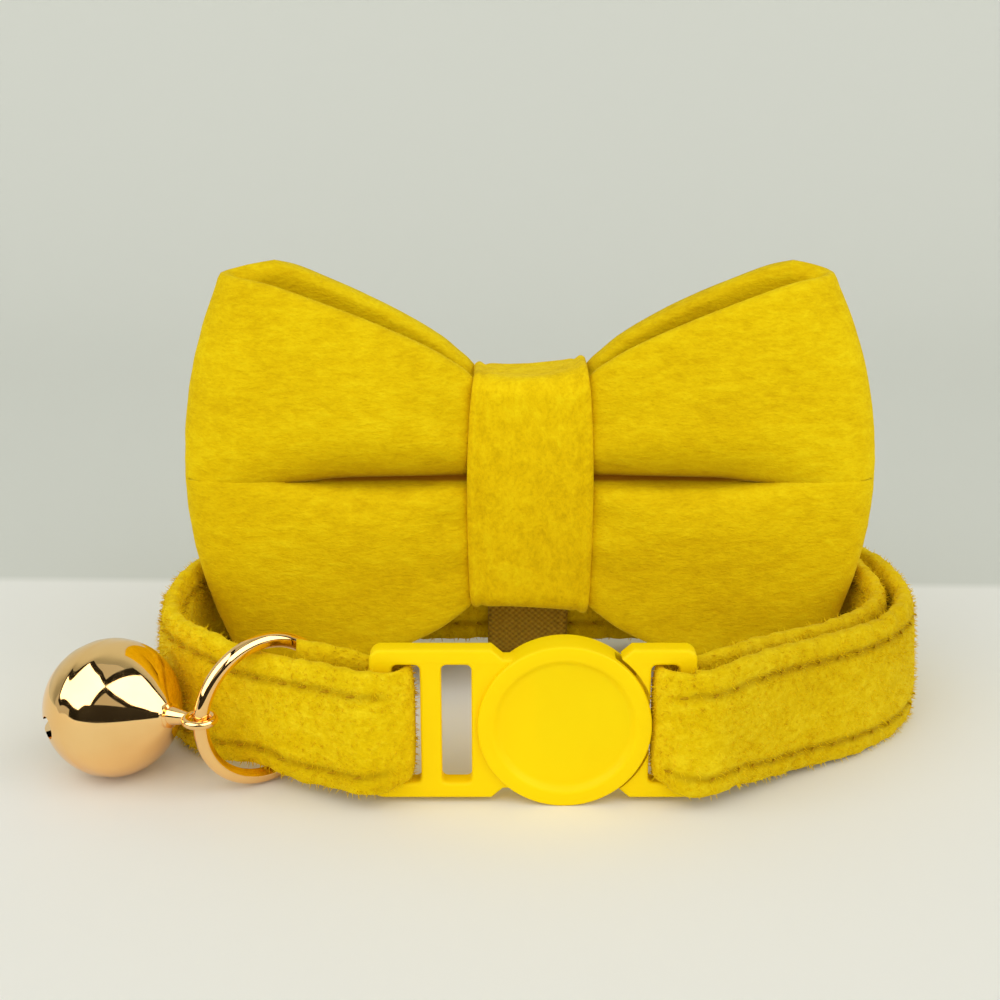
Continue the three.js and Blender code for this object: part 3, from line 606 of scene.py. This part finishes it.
# Bow: one loop of folded velvet, front and back panels joined at the outer ends.
# Columns: share of the half width, share of the height gained, share of the puff, depth of the fold
lobeSections = [
    (0, 0, 0, 0.8), (0.1, 0, 0, 0.8), (0.165, 0.01, 0.03, 0.9), (0.2, 0.15, 0.36, 1.0),
    (0.245, 0.25, 0.54, 1.05), (0.3, 0.35, 0.72, 1.08), (0.42, 0.51, 0.9, 1.08), (0.56, 0.67, 0.98, 0.98),
    (0.7, 0.81, 1, 0.7), (0.85, 0.94, 1, 0.26), (1, 1, 0.94, 0)]
readLobe = reader(lobeSections)
bow = {"steps": (340, 132), "width": 68.4, "height": 43.4, "depth": 12, "wall": 2.2, "pinch": 21.4,
       "pinchGap": 0.5, "plane": 27.5, "leftTaper": 0.125, "rightTaper": 0.145, "leftBack": 0.09,
       "rightBack": 0.05, "bottomTaper": 0.17, "backRise": 1.1, "foldAt": 0.6, "knotDrop": 0.8,
       "upperLip": 0.34, "lowerLip": 0.42, "overhang": 0.3, "opening": 0.42, "topDraw": 0.32,
       "bottomDraw": 0.06, "endRound": 0.5, "crowding": 0.32, "sag": 0.3, "clump": 0.045, "pleat": 0.2,
       "hemGroove": 0.4}


# The fold between the two pillows of a lobe: its height, and how far the cloth has come out of it
def foldLevel(turn):
    out = abs(math.cos(turn))
    height = (bow["pinch"] + (bow["height"] - bow["pinch"]) * readLobe(out)[0] - bow["wall"]) / 2
    return (bow["foldAt"] + bow["knotDrop"] * dent(out, 0.34)) / height


def lip(offset, opening):
    wide, roundness = (bow["upperLip"], 1.9) if offset > 0 else (bow["lowerLip"], 2.8)
    past = max(abs(offset) - opening, 0)
    return (1 - (1 - min(past / wide, 1)) ** roundness) ** (1 / roundness)


def bowMiddle(turn, rise):
    out = abs(math.cos(turn))
    tall, puff, fold = readLobe(out)
    behind = held(-3 * math.sin(turn))
    around = power(math.sin(turn), bow["endRound"])
    lobe = "left" if math.cos(turn) < 0 else "right"
    upperTaper = bow[lobe + "Taper"] + bow[lobe + "Back"] * behind
    taper = bow["bottomTaper"] if rise < 0 else upperTaper
    halfWall = bow["wall"] / 2
    x = (bow["width"] / 2 - halfWall) * math.cos(turn) * (1 - taper * rise**2 * out)
    pinched = bow["pinch"] / 2 - halfWall
    frontDrop = bow["backRise"] * max(rise, 0) * (1 - behind)
    height = pinched + (bow["height"] / 2 - halfWall - frontDrop - pinched) * tall
    lower = bow["knotDrop"] * dent(out, 0.34)
    level = rise - foldLevel(turn)
    valley = 1 - fold * (1 - lip(level, bow["opening"] * min(fold, 1) ** 2 * (1 - behind) / height))
    hem = 1 - (bow["topDraw"] if rise > 0 else bow["bottomDraw"]) * abs(rise) ** 3
    pinchedDepth = halfWall + bow["pinchGap"] / 2
    depth = (bow["depth"] / 2 - halfWall - pinchedDepth) * puff * valley * hem
    pleats = bow["pleat"] * math.cos(rise * 15 + 0.6) * dent(out - 0.25, 0.07) * (1 - abs(rise) ** 4)
    y = -around * (pinchedDepth + depth + pleats)
    drop = bow["overhang"] * fold * puff * dent(level - 0.06, 0.08) * (1 - behind)
    return Vector((x, y, height * rise - drop - lower))


def bowNormal(turn, rise):
    small = 1e-3
    around = bowMiddle(turn + small, rise) - bowMiddle(turn - small, rise)
    upward = bowMiddle(turn, rise + small) - bowMiddle(turn, rise - small)
    normal = upward.cross(around).normalized()
    normal = -normal if normal.dot(Vector((math.cos(turn), -math.sin(turn), 0))) < 0 else normal
    out = abs(math.cos(turn))
    straight = Vector((0, -math.copysign(1, math.sin(turn)), 0))
    inFold = readLobe(out)[2] * dent(rise - foldLevel(turn), 0.3) * (1 - out**8)
    return normal.lerp(straight, inFold).normalized()


bowPaintedShade = []


# Painted shade of the fold, for the cloth's colour: dark between the pillows, and fading out over the upper
# one
def foldShade(turn, rise):
    out = abs(math.cos(turn))
    tall, puff, fold = readLobe(out)
    above = (rise - foldLevel(turn)) * (bow["pinch"] + (bow["height"] - bow["pinch"]) * tall) / 2
    dark = 0.92 * dent(above - 0.15, 0.7) + 0.42 * dent(above, 2.7) if above > 0 else 0.92 * dent(above, 0.42)
    return min(dark, 0.95) * held((0.93 - out) / 0.36) ** 1.3


def bowVertex(across, around):
    even = 2 * math.pi * across
    turn = even + bow["crowding"] * math.sin(2 * even) / 2
    half = bow["wall"] / 2
    faceShare = 0.46
    out = abs(math.cos(turn))
    if around <= faceShare or 0.5 <= around <= 0.5 + faceShare:
        outer = around <= faceShare
        level = -1 + 2 * (around if outer else 0.5 + faceShare - around) / faceShare
        fold = foldLevel(turn)
        rise = fold + (1 - fold if level > 0 else 1 + fold) * power(level, 1.6)
        spot = bowMiddle(turn, rise) + bowNormal(turn, rise) * (half if outer else -half)
        proud = 1 if outer else -0.4
        shade = foldShade(turn, rise) if outer else 0
    else:
        top = around < 0.5
        rise = 1 if top else -1
        angle = math.pi * (around - faceShare if top else 1 - around) / (0.5 - faceShare)
        normal = bowNormal(turn, rise)
        behind = held((0.1 - math.sin(turn)) / 0.3) * min((1 - out) / 0.12, 1) if top else 0
        groove = bow["hemGroove"] * dent(angle - math.pi / 2, 0.5) * behind
        spot = bowMiddle(turn, rise) + normal * (half * math.cos(angle))
        spot += Vector((0, 0, rise * (half - groove) * math.sin(angle)))
        proud = math.cos(angle)
        shade = 0
    bowPaintedShade.append(shade)
    normal = bowNormal(turn, rise)
    loose = held((out - 0.22) / 0.2) * held((1 - out) / 0.15)
    sag = noise.noise(spot / 9 + Vector((3, 1, 8))) * bow["sag"] * loose
    clump = noise.noise(spot / 1.5) * bow["clump"]
    clump += noise.noise(spot / 0.7 + Vector((5, 5, 0))) * bow["clump"] * 0.5
    spot += normal * (proud * (sag + clump))
    return place(spot.x, bow["plane"] + spot.y, bow["height"] / 2 + spot.z)


velvetBow = shapedGrid("bow_velvet", *bow["steps"], bowVertex)
keepPaintedShade(velvetBow, bowPaintedShade)
finishCloth(velvetBow, "bow_velvet", bowVelvet, "bow_loop")
print("bow folded")


# A closed loop of band in the YZ plane, wide along X: its outline and its section
def bandOutline(halfDepth, halfHeight, corner):
    flatY, flatZ = halfDepth - corner, halfHeight - corner
    bend = corner * math.pi / 2
    runs = [bend, 2 * flatY, bend, 2 * flatZ, bend, 2 * flatY, bend, 2 * flatZ]
    total = sum(runs)

    def spot(share):
        at = (share % 1) * total
        for index, run in enumerate(runs):
            if at <= run or index == 7:
                break
            at -= run
        quarter = index // 2
        corners = [(1, 1), (-1, 1), (-1, -1), (1, -1)]
        here, after = corners[quarter], corners[(quarter + 1) % 4]
        if index % 2 == 0:
            angle = (quarter + at / bend) * math.pi / 2
            return here[0] * flatY, here[1] * flatZ, math.cos(angle), math.sin(angle)
        part = at / run
        angle = (quarter + 1) * math.pi / 2
        return ((here[0] + (after[0] - here[0]) * part) * flatY,
                (here[1] + (after[1] - here[1]) * part) * flatZ, math.cos(angle), math.sin(angle))

    return spot


knot = {"steps": (220, 72), "width": 12.4, "wall": 1.7, "waist": 0.11, "dip": 1.0, "corner": 2.6,
        "hem": 0.16, "hemIn": 1.1, "skew": 0.028, "clump": 0.05, "drop": 0.8}
knotHalfDepth = bow["wall"] + bow["pinchGap"] / 2 + 0.3 + knot["wall"]
knotHalfHeight = bow["pinch"] / 2 + 0.3 + knot["wall"]
knotOutline = bandOutline(knotHalfDepth, knotHalfHeight, knot["corner"])


def bandSection(around, width, wall):
    angle = 2 * math.pi * around
    return power(math.cos(angle), 0.42) * width / 2, power(math.sin(angle), 0.5) * wall / 2


def knotVertex(across, around):
    y, z, ny, nz = knotOutline(across)
    level = (z + nz * knot["corner"]) / knotHalfHeight
    angle = 2 * math.pi * around
    narrow = 1 - (knot["waist"] if level > 0 else knot["waist"] / 2) * level**2
    side, layer = bandSection(around, 1, 1)
    half = knot["width"] / 2 * narrow
    x = 2 * side * half
    fromEdge = half - abs(x)
    outer = max(math.sin(angle), 0) ** 0.5
    hem = knot["hem"] * (dent(fromEdge - 0.55, 0.4) - 1.2 * dent(fromEdge - knot["hemIn"], 0.28)) * outer
    crown = 0.18 * (1 - (x / half) ** 2) * outer * (1 - abs(nz))
    reach = knot["corner"] - knot["wall"] / 2 + layer * knot["wall"] + hem + crown
    reach -= knot["dip"] * abs(nz) ** 3 * (1 - (x / half) ** 2) * outer
    spot = Vector((x, y + ny * reach, z + nz * reach))
    spot.z *= 1 + knot["skew"] * x / half
    clump = noise.noise(spot / 1.3 + Vector((2, 2, 2))) * knot["clump"]
    clump += noise.noise(spot / 0.6) * knot["clump"] * 0.6
    spot += Vector((0, ny, nz)) * clump * (outer if math.sin(angle) > 0 else 0)
    return place(spot.x, bow["plane"] + spot.y, bow["height"] / 2 + spot.z - knot["drop"])


velvetKnot = shapedGrid("knot_velvet", *knot["steps"], knotVertex)
finishCloth(velvetKnot, "bow_velvet", knotVelvet, "bow_knot")
print("knot wrapped")


# Elastic keeper behind the knot
keeper = {"steps": (160, 60), "width": 8.5, "wall": 1.0, "corner": 1.3, "y": 34.65, "z": 7.65,
          "halfDepth": 2.4, "halfHeight": 7.4, "ribs": 9, "ribHigh": 0.05}
keeperOutline = bandOutline(keeper["halfDepth"], keeper["halfHeight"], keeper["corner"])


def keeperVertex(across, around):
    y, z, ny, nz = keeperOutline(across)
    side, layer = bandSection(around, keeper["width"], keeper["wall"])
    rib = keeper["ribHigh"] * math.cos(2 * math.pi * keeper["ribs"] * side / keeper["width"])
    reach = keeper["corner"] - keeper["wall"] / 2 + layer + (rib if layer > 0 else 0)
    return place(side, keeper["y"] + y + ny * reach, keeper["z"] + z + nz * reach)


elasticKeeper = shapedGrid("keeper_band", *keeper["steps"], keeperVertex)
finishCloth(elasticKeeper, "keeper_elastic", keeperElastic, "bow_keeper")
print("keeper sewn")


# Buckle: flat moulded frames with rounded edges, drawn as outlines about the cover's centre
buckle = {"discRadius": 7.5, "discThick": 3.0, "discFacets": 144, "rim": 1.3, "recess": 0.5,
          "frameThick": 1.9, "round": 0.3, "top": 7.0, "rail": 1.45, "corner": 1.0, "slotCorner": 0.5,
          "chamfer": (1.0, 0.9), "socket": 16.7, "socketNeck": 6.3, "plug": 11.25, "plugNeck": 5.75,
          "spareSlot": (8.0, 10.6), "strapSlot": (12.4, 14.8), "plugSlot": (7.35, 9.75), "plugBar": 1.25,
          "tongue": (0.9, 8.4, 2.0), "gap": 0.3, "pocketHigh": 12.3, "barHigh": 11.7}
buckleAt = (2.6, 1.5, 7.5)


def roundedCorner(x, z, radius, start):
    return [(x + radius * math.cos(math.radians(start + a)), z + radius * math.sin(math.radians(start + a)))
            for a in range(0, 91, 15)]


def slotOutline(low, high):
    half, r = buckle["top"] - buckle["rail"], buckle["slotCorner"]
    return (roundedCorner(high - r, half - r, r, 0) + roundedCorner(low + r, half - r, r, 90)
            + roundedCorner(low + r, r - half, r, 180) + roundedCorner(high - r, r - half, r, 270))


def frameOutline(length, neck):
    top, r = buckle["top"], buckle["corner"]
    wide, drop = buckle["chamfer"]
    upper = [(0, top - drop), (neck - wide, top - drop), (neck, top)]
    corner = roundedCorner(length - r, top - r, r, 0)[::-1]
    half = upper + corner
    return half + [(x, -z) for x, z in reversed(half)]


def mouldedPlate(name, outlines, side):
    curve = bpy.data.curves.new(name, "CURVE")
    curve.dimensions = "2D"
    curve.fill_mode = "BOTH"
    curve.extrude = (buckle["frameThick"] / 2 - buckle["round"]) * mm
    curve.bevel_depth = buckle["round"] * mm
    curve.bevel_resolution = 3
    curve.offset = -buckle["round"] * mm
    for outline in outlines:
        spline = curve.splines.new("POLY")
        spline.points.add(len(outline) - 1)
        for point, (x, z) in zip(spline.points, outline):
            point.co = (side * x * mm, z * mm, 0, 1)
        spline.use_cyclic_u = True
    piece = bpy.data.objects.new(name, curve)
    bpy.context.collection.objects.link(piece)
    pick(piece)
    bpy.ops.object.convert(target="MESH")
    piece = named(name)
    piece.rotation_euler = (math.pi / 2, 0, 0)
    bpy.ops.object.transform_apply(location=False, rotation=True, scale=False)
    closeAndTurnOut(piece, 0.001 * mm)
    return piece


def cut(piece, tool, operation="DIFFERENCE"):
    pick(piece)
    modifier = piece.modifiers.new("cut", "BOOLEAN")
    modifier.operation = operation
    modifier.solver = "EXACT"
    modifier.object = tool
    bpy.ops.object.modifier_apply(modifier=modifier.name)
    bpy.data.objects.remove(tool)


def roundCover():
    bpy.ops.object.select_all(action="DESELECT")
    bpy.ops.mesh.primitive_cylinder_add(vertices=buckle["discFacets"], radius=buckle["discRadius"] * mm,
                                        depth=buckle["discThick"] * mm, rotation=(math.pi / 2, 0, 0))
    cover = named("round_cover")
    bpy.ops.object.transform_apply(location=False, rotation=True, scale=False)
    editAll(cover)
    bpy.ops.mesh.select_mode(type="FACE")
    bpy.ops.mesh.select_all(action="DESELECT")
    mesh = bmesh.from_edit_mesh(cover.data)
    for face in mesh.faces:
        face.select_set(face.normal.y < -0.9)
    bmesh.update_edit_mesh(cover.data)
    bpy.ops.mesh.inset(thickness=buckle["rim"] * mm)
    bpy.ops.mesh.inset(thickness=buckle["recess"] * mm)
    bpy.ops.transform.translate(value=(0, buckle["recess"] * mm, 0))
    bpy.ops.mesh.select_mode(type="VERT")
    objectMode()
    bevel = cover.modifiers.new("soft edges", "BEVEL")
    bevel.width = 0.2 * mm
    bevel.segments = 4
    bevel.limit_method = "ANGLE"
    bevel.angle_limit = math.radians(30)
    applyModifiers(cover)
    return cover


def box(name, size, spot):
    bpy.ops.object.select_all(action="DESELECT")
    bpy.ops.mesh.primitive_cube_add(size=1, location=tuple(v * mm for v in spot),
                                    scale=tuple(v * mm for v in size))
    piece = named(name)
    bpy.ops.object.transform_apply(location=True, rotation=True, scale=True)
    return piece


def finishBuckle(piece, *nodes):
    piece.location = place(*buckleAt)
    pick(piece)
    bpy.ops.object.shade_smooth_by_angle(angle=math.radians(32))
    settle(piece, "buckle_plastic", bucklePlastic, *nodes)


thin, tongueHigh, tongueReach = buckle["tongue"]
socketOutlines = [frameOutline(buckle["socket"], buckle["socketNeck"]), slotOutline(*buckle["spareSlot"]),
                  slotOutline(*buckle["strapSlot"])]
socket = mouldedPlate("socket_half", socketOutlines, -1)
cut(socket, roundCover(), "UNION")
pocketLong = tongueReach + buckle["gap"] + 2 * buckle["discRadius"]
pocketAt = (pocketLong / 2 - tongueReach - buckle["gap"], 0, 0)
cut(socket, box("pocket", (pocketLong, thin + 2 * buckle["gap"], buckle["pocketHigh"]), pocketAt))
finishBuckle(socket, "buckle_socket")

plugOutlines = [frameOutline(buckle["plug"], buckle["plugNeck"]), slotOutline(*buckle["plugSlot"])]
plug = mouldedPlate("plug_half", plugOutlines, 1)
bpy.ops.object.select_all(action="DESELECT")
bpy.ops.mesh.primitive_cylinder_add(vertices=buckle["discFacets"], depth=2 * buckle["discThick"] * mm,
                                    radius=(buckle["discRadius"] + buckle["gap"]) * mm,
                                    rotation=(math.pi / 2, 0, 0))
bpy.ops.object.transform_apply(location=False, rotation=True, scale=False)
cut(plug, bpy.context.object)
barMiddle = buckle["plugSlot"][0] - buckle["plugBar"] / 2
cut(plug, box("bar", (buckle["plugBar"], thin, buckle["barHigh"]), (barMiddle, 0, 0)), "UNION")
tongueLong = tongueReach + buckle["plugSlot"][0]
cut(plug, box("tongue", (tongueLong, thin, tongueHigh), (tongueLong / 2 - tongueReach, 0, 0)), "UNION")
finishBuckle(plug, "buckle_plug")
print("buckle moulded")


# Ring: round wire bent closed, its butt joint behind the strap
ring = {"diameter": 12.75, "wire": 1.35, "at": (-23.75, 4.75, 7.15), "turn": 38.7, "joint": 20}


def wireRing():
    bpy.ops.object.select_all(action="DESELECT")
    bpy.ops.mesh.primitive_torus_add(major_radius=ring["diameter"] / 2 * mm,
                                     minor_radius=ring["wire"] / 2 * mm,
                                     major_segments=160, minor_segments=28)
    piece = named("ring_wire")
    for vertex in piece.data.vertices:
        angle = math.atan2(vertex.co.y, vertex.co.x) - math.radians(ring["joint"])
        near = dent(angle * ring["diameter"] / 2, 0.09)
        middle = Vector((vertex.co.x, vertex.co.y, 0)).normalized() * (ring["diameter"] / 2 * mm)
        vertex.co = middle + (vertex.co - middle) * (1 - 0.12 * near)
    piece.rotation_euler = (math.pi / 2, 0, math.radians(ring["turn"]))
    piece.location = place(*ring["at"])
    bpy.ops.object.shade_smooth()
    settle(piece, "rose_gold", roseGold, "bell_ring")
    return piece


wireRing()
print("ring bent")


# Bell: hollow shell about its own axis, neck along +X. Columns: place along the axis, radius
bell = {"at": (-37.75, 6.85, 6.25), "radius": 6.25, "tilt": 8.8, "turn": -34.0, "wall": 0.7, "reach": 10.9,
        "slot": 1.2, "hole": 1.05,
        "slotReach": 68, "eyeletWire": 0.7, "eyeletRadius": 1.25}
bellFlare = [(0.0, 6.25), (1.5, 6.05), (2.9, 5.42), (3.9, 4.68), (5.0, 3.6), (6.0, 2.42), (6.7, 1.55),
             (7.0, 1.12)]
bellStem = [(7.06, 1.1), (7.4, 1.1), (7.5, 0.84), (8.6, 0.66), (9.45, 0.5), (9.5, 0.0)]


def bellShell():
    radius = bell["radius"]
    bulb = [(-radius * math.cos(math.radians(a)), radius * math.sin(math.radians(a)))
            for a in range(0, 90, 4)]
    flare = reader(bellFlare)
    outer = bulb + [(a, flare(a)[0]) for a in [i * 0.125 for i in range(57)]] + bellStem
    build = bpy.data.meshes.new("bell_shell")
    lines = [(i, i + 1) for i in range(len(outer) - 1)]
    build.from_pydata([(a * mm, 0, r * mm) for a, r in outer], lines, [])
    piece = bpy.data.objects.new("bell_shell", build)
    bpy.context.collection.objects.link(piece)
    editAll(piece)
    bpy.ops.mesh.spin(steps=96, angle=2 * math.pi, center=(0, 0, 0), axis=(1, 0, 0))
    bpy.ops.mesh.select_all(action="SELECT")
    bpy.ops.mesh.remove_doubles(threshold=0.002 * mm)
    bpy.ops.mesh.normals_make_consistent(inside=False)
    objectMode()
    return piece


def bellInside():
    bpy.ops.object.select_all(action="DESELECT")
    bpy.ops.mesh.primitive_uv_sphere_add(segments=64, ring_count=32,
                                         radius=(bell["radius"] - bell["wall"]) * mm)
    piece = named("bell_inside")
    for vertex in piece.data.vertices:
        if vertex.co.x > 0:
            vertex.co.x *= 0.74
    return piece


shell = bellShell()
cut(shell, bellInside())
rise = math.radians(bell["slotReach"])
slotSize = (2 * bell["radius"] * (1 - math.cos(rise)), bell["slot"], 2 * bell["radius"] * math.sin(rise))
for turn in (0, math.pi / 2):
    slotTool = box("slot", slotSize, (-bell["radius"], 0, 0))
    slotTool.rotation_euler = (turn, 0, 0)
    pick(slotTool)
    bpy.ops.object.transform_apply(location=False, rotation=True, scale=False)
    cut(shell, slotTool)
    for side in (-1, 1):
        aim = Vector((-math.cos(rise), 0, side * math.sin(rise)))
        aim.rotate(Matrix.Rotation(turn, 3, "X"))
        bpy.ops.object.select_all(action="DESELECT")
        bpy.ops.mesh.primitive_cylinder_add(vertices=32, radius=bell["hole"] * mm, depth=2.2 * mm,
                                            location=aim * bell["radius"] * mm,
                                            rotation=aim.to_track_quat("Z", "Y").to_euler())
        bpy.ops.object.transform_apply(location=True, rotation=True, scale=True)
        cut(shell, bpy.context.object)
bpy.ops.object.select_all(action="DESELECT")
bpy.ops.mesh.primitive_torus_add(major_radius=bell["eyeletRadius"] * mm,
                                 minor_radius=bell["eyeletWire"] / 2 * mm, major_segments=64,
                                 minor_segments=20, location=(bell["reach"] * mm, 0, 0),
                                 rotation=(0, math.radians(bell["tilt"]), 0))
bpy.ops.object.transform_apply(location=True, rotation=True, scale=True)
cut(shell, bpy.context.object, "UNION")
shell.rotation_mode = "XYZ"
shell.rotation_euler = (0, -math.radians(bell["tilt"]), math.radians(bell["turn"]))
shell.location = place(*bell["at"])
pick(shell)
bpy.ops.object.shade_smooth_by_angle(angle=math.radians(34))
settle(shell, "rose_gold", roseGold, "bell")
print("bell spun")


# Floor that rises to a wall far behind, studio light and what the bell mirrors
stage = {"floor": (0.857, 0.855, 0.822), "far": (0.665, 0.68, 0.635), "line": 36.0, "tilt": 1.16, "soft": 1.2,
         "bendFrom": 0.16, "bend": 0.20, "sky": (0.90, 0.91, 0.87), "skyPower": 0.60, "keyPower": 3.05,
         "panel": (1.0, 0.9), "panelPower": 2.6, "lamp": (0.50, -0.46, 0.48)}


def floorMaterial():
    material, tree, shader = newMaterial("table", stage["floor"])
    vector = mapped(tree, "Object", turn=(0, 0, math.radians(stage["tilt"])))
    split = tree.nodes.new("ShaderNodeSeparateXYZ")
    tree.links.new(vector, split.inputs[0])
    line, soft = stage["line"] * mm, stage["soft"] * mm
    far = spread(tree, split.outputs["Y"], line - soft, line + soft)
    tree.links.new(mixColour(tree, far, stage["floor"], stage["far"]), shader.inputs["Base Color"])
    shader.inputs["Roughness"].default_value = 0.8
    shader.inputs["Specular IOR Level"].default_value = 0.1
    return material


def raisedFloor():
    bpy.ops.object.select_all(action="DESELECT")
    bpy.ops.mesh.primitive_grid_add(x_subdivisions=8, y_subdivisions=240, size=6)
    floor = named("floor")
    for vertex in floor.data.vertices:
        past = vertex.co.y - stage["bendFrom"]
        if past > 0:
            turn = min(past / stage["bend"], math.pi / 2)
            climb = past - turn * stage["bend"]
            vertex.co.y = stage["bendFrom"] + stage["bend"] * math.sin(turn)
            vertex.co.z = stage["bend"] * (1 - math.cos(turn)) + climb
    bpy.ops.object.shade_smooth()
    floor.data.materials.append(floorMaterial())


def glowMaterial():
    material, tree, shader = newMaterial("softbox cloth", (0.9, 0.9, 0.9))
    shader.inputs["Emission Color"].default_value = (1.0, 0.97, 0.93, 1)
    shader.inputs["Emission Strength"].default_value = stage["panelPower"]
    return material


# Cards seen only in the polished metal: two softboxes in a dark room
def mirroredCard(name, material, size, spot, turn):
    bpy.ops.object.select_all(action="DESELECT")
    bpy.ops.mesh.primitive_plane_add(size=1, location=spot, rotation=turn)
    card = named(name)
    card.scale = (*size, 1)
    bpy.ops.object.transform_apply(location=False, rotation=False, scale=True)
    card.data.materials.append(material)
    card.visible_camera = False
    card.visible_diffuse = False
    card.visible_shadow = False
    card.visible_transmission = False


raisedFloor()
darkPaint, _, darkShader = newMaterial("dark paint", (0.010, 0.008, 0.006))
darkShader.inputs["Roughness"].default_value = 0.9
softboxCloth = glowMaterial()
for side in (-1, 1):
    spot = Vector((side * 0.53, -0.33, 0.60))
    lamp = Vector((side * stage["lamp"][0], *stage["lamp"][1:]))
    bpy.ops.object.light_add(type="AREA", location=lamp)
    panel = bpy.context.object
    panel.data.shape = "RECTANGLE"
    panel.data.size, panel.data.size_y = stage["panel"]
    panel.data.energy = stage["keyPower"]
    panel.data.color = (1.0, 0.985, 0.95)
    panel.rotation_euler = (Vector((0, 0, 0.02)) - lamp).to_track_quat("-Z", "Y").to_euler()
    panel.visible_glossy = False
    turn = (Vector((0, 0, 0.02)) - spot).to_track_quat("-Z", "Y").to_euler()
    mirroredCard("softbox", softboxCloth, stage["panel"], spot, turn)
    mirroredCard("dark_room", darkPaint, (1.45, 1.35), spot * 1.12, turn)
mirroredCard("dark_wall", darkPaint, (3.0, 0.40), Vector((0, -0.75, 0.2)), (math.pi / 2, 0, 0))

world = bpy.data.worlds.new("studio") if bpy.context.scene.world is None else bpy.context.scene.world
bpy.context.scene.world = world
world.use_nodes = True
world.node_tree.nodes["Background"].inputs["Color"].default_value = (*stage["sky"], 1)
world.node_tree.nodes["Background"].inputs["Strength"].default_value = stage["skyPower"]
bpy.context.scene.view_settings.view_transform = "Standard"
print("studio lit")
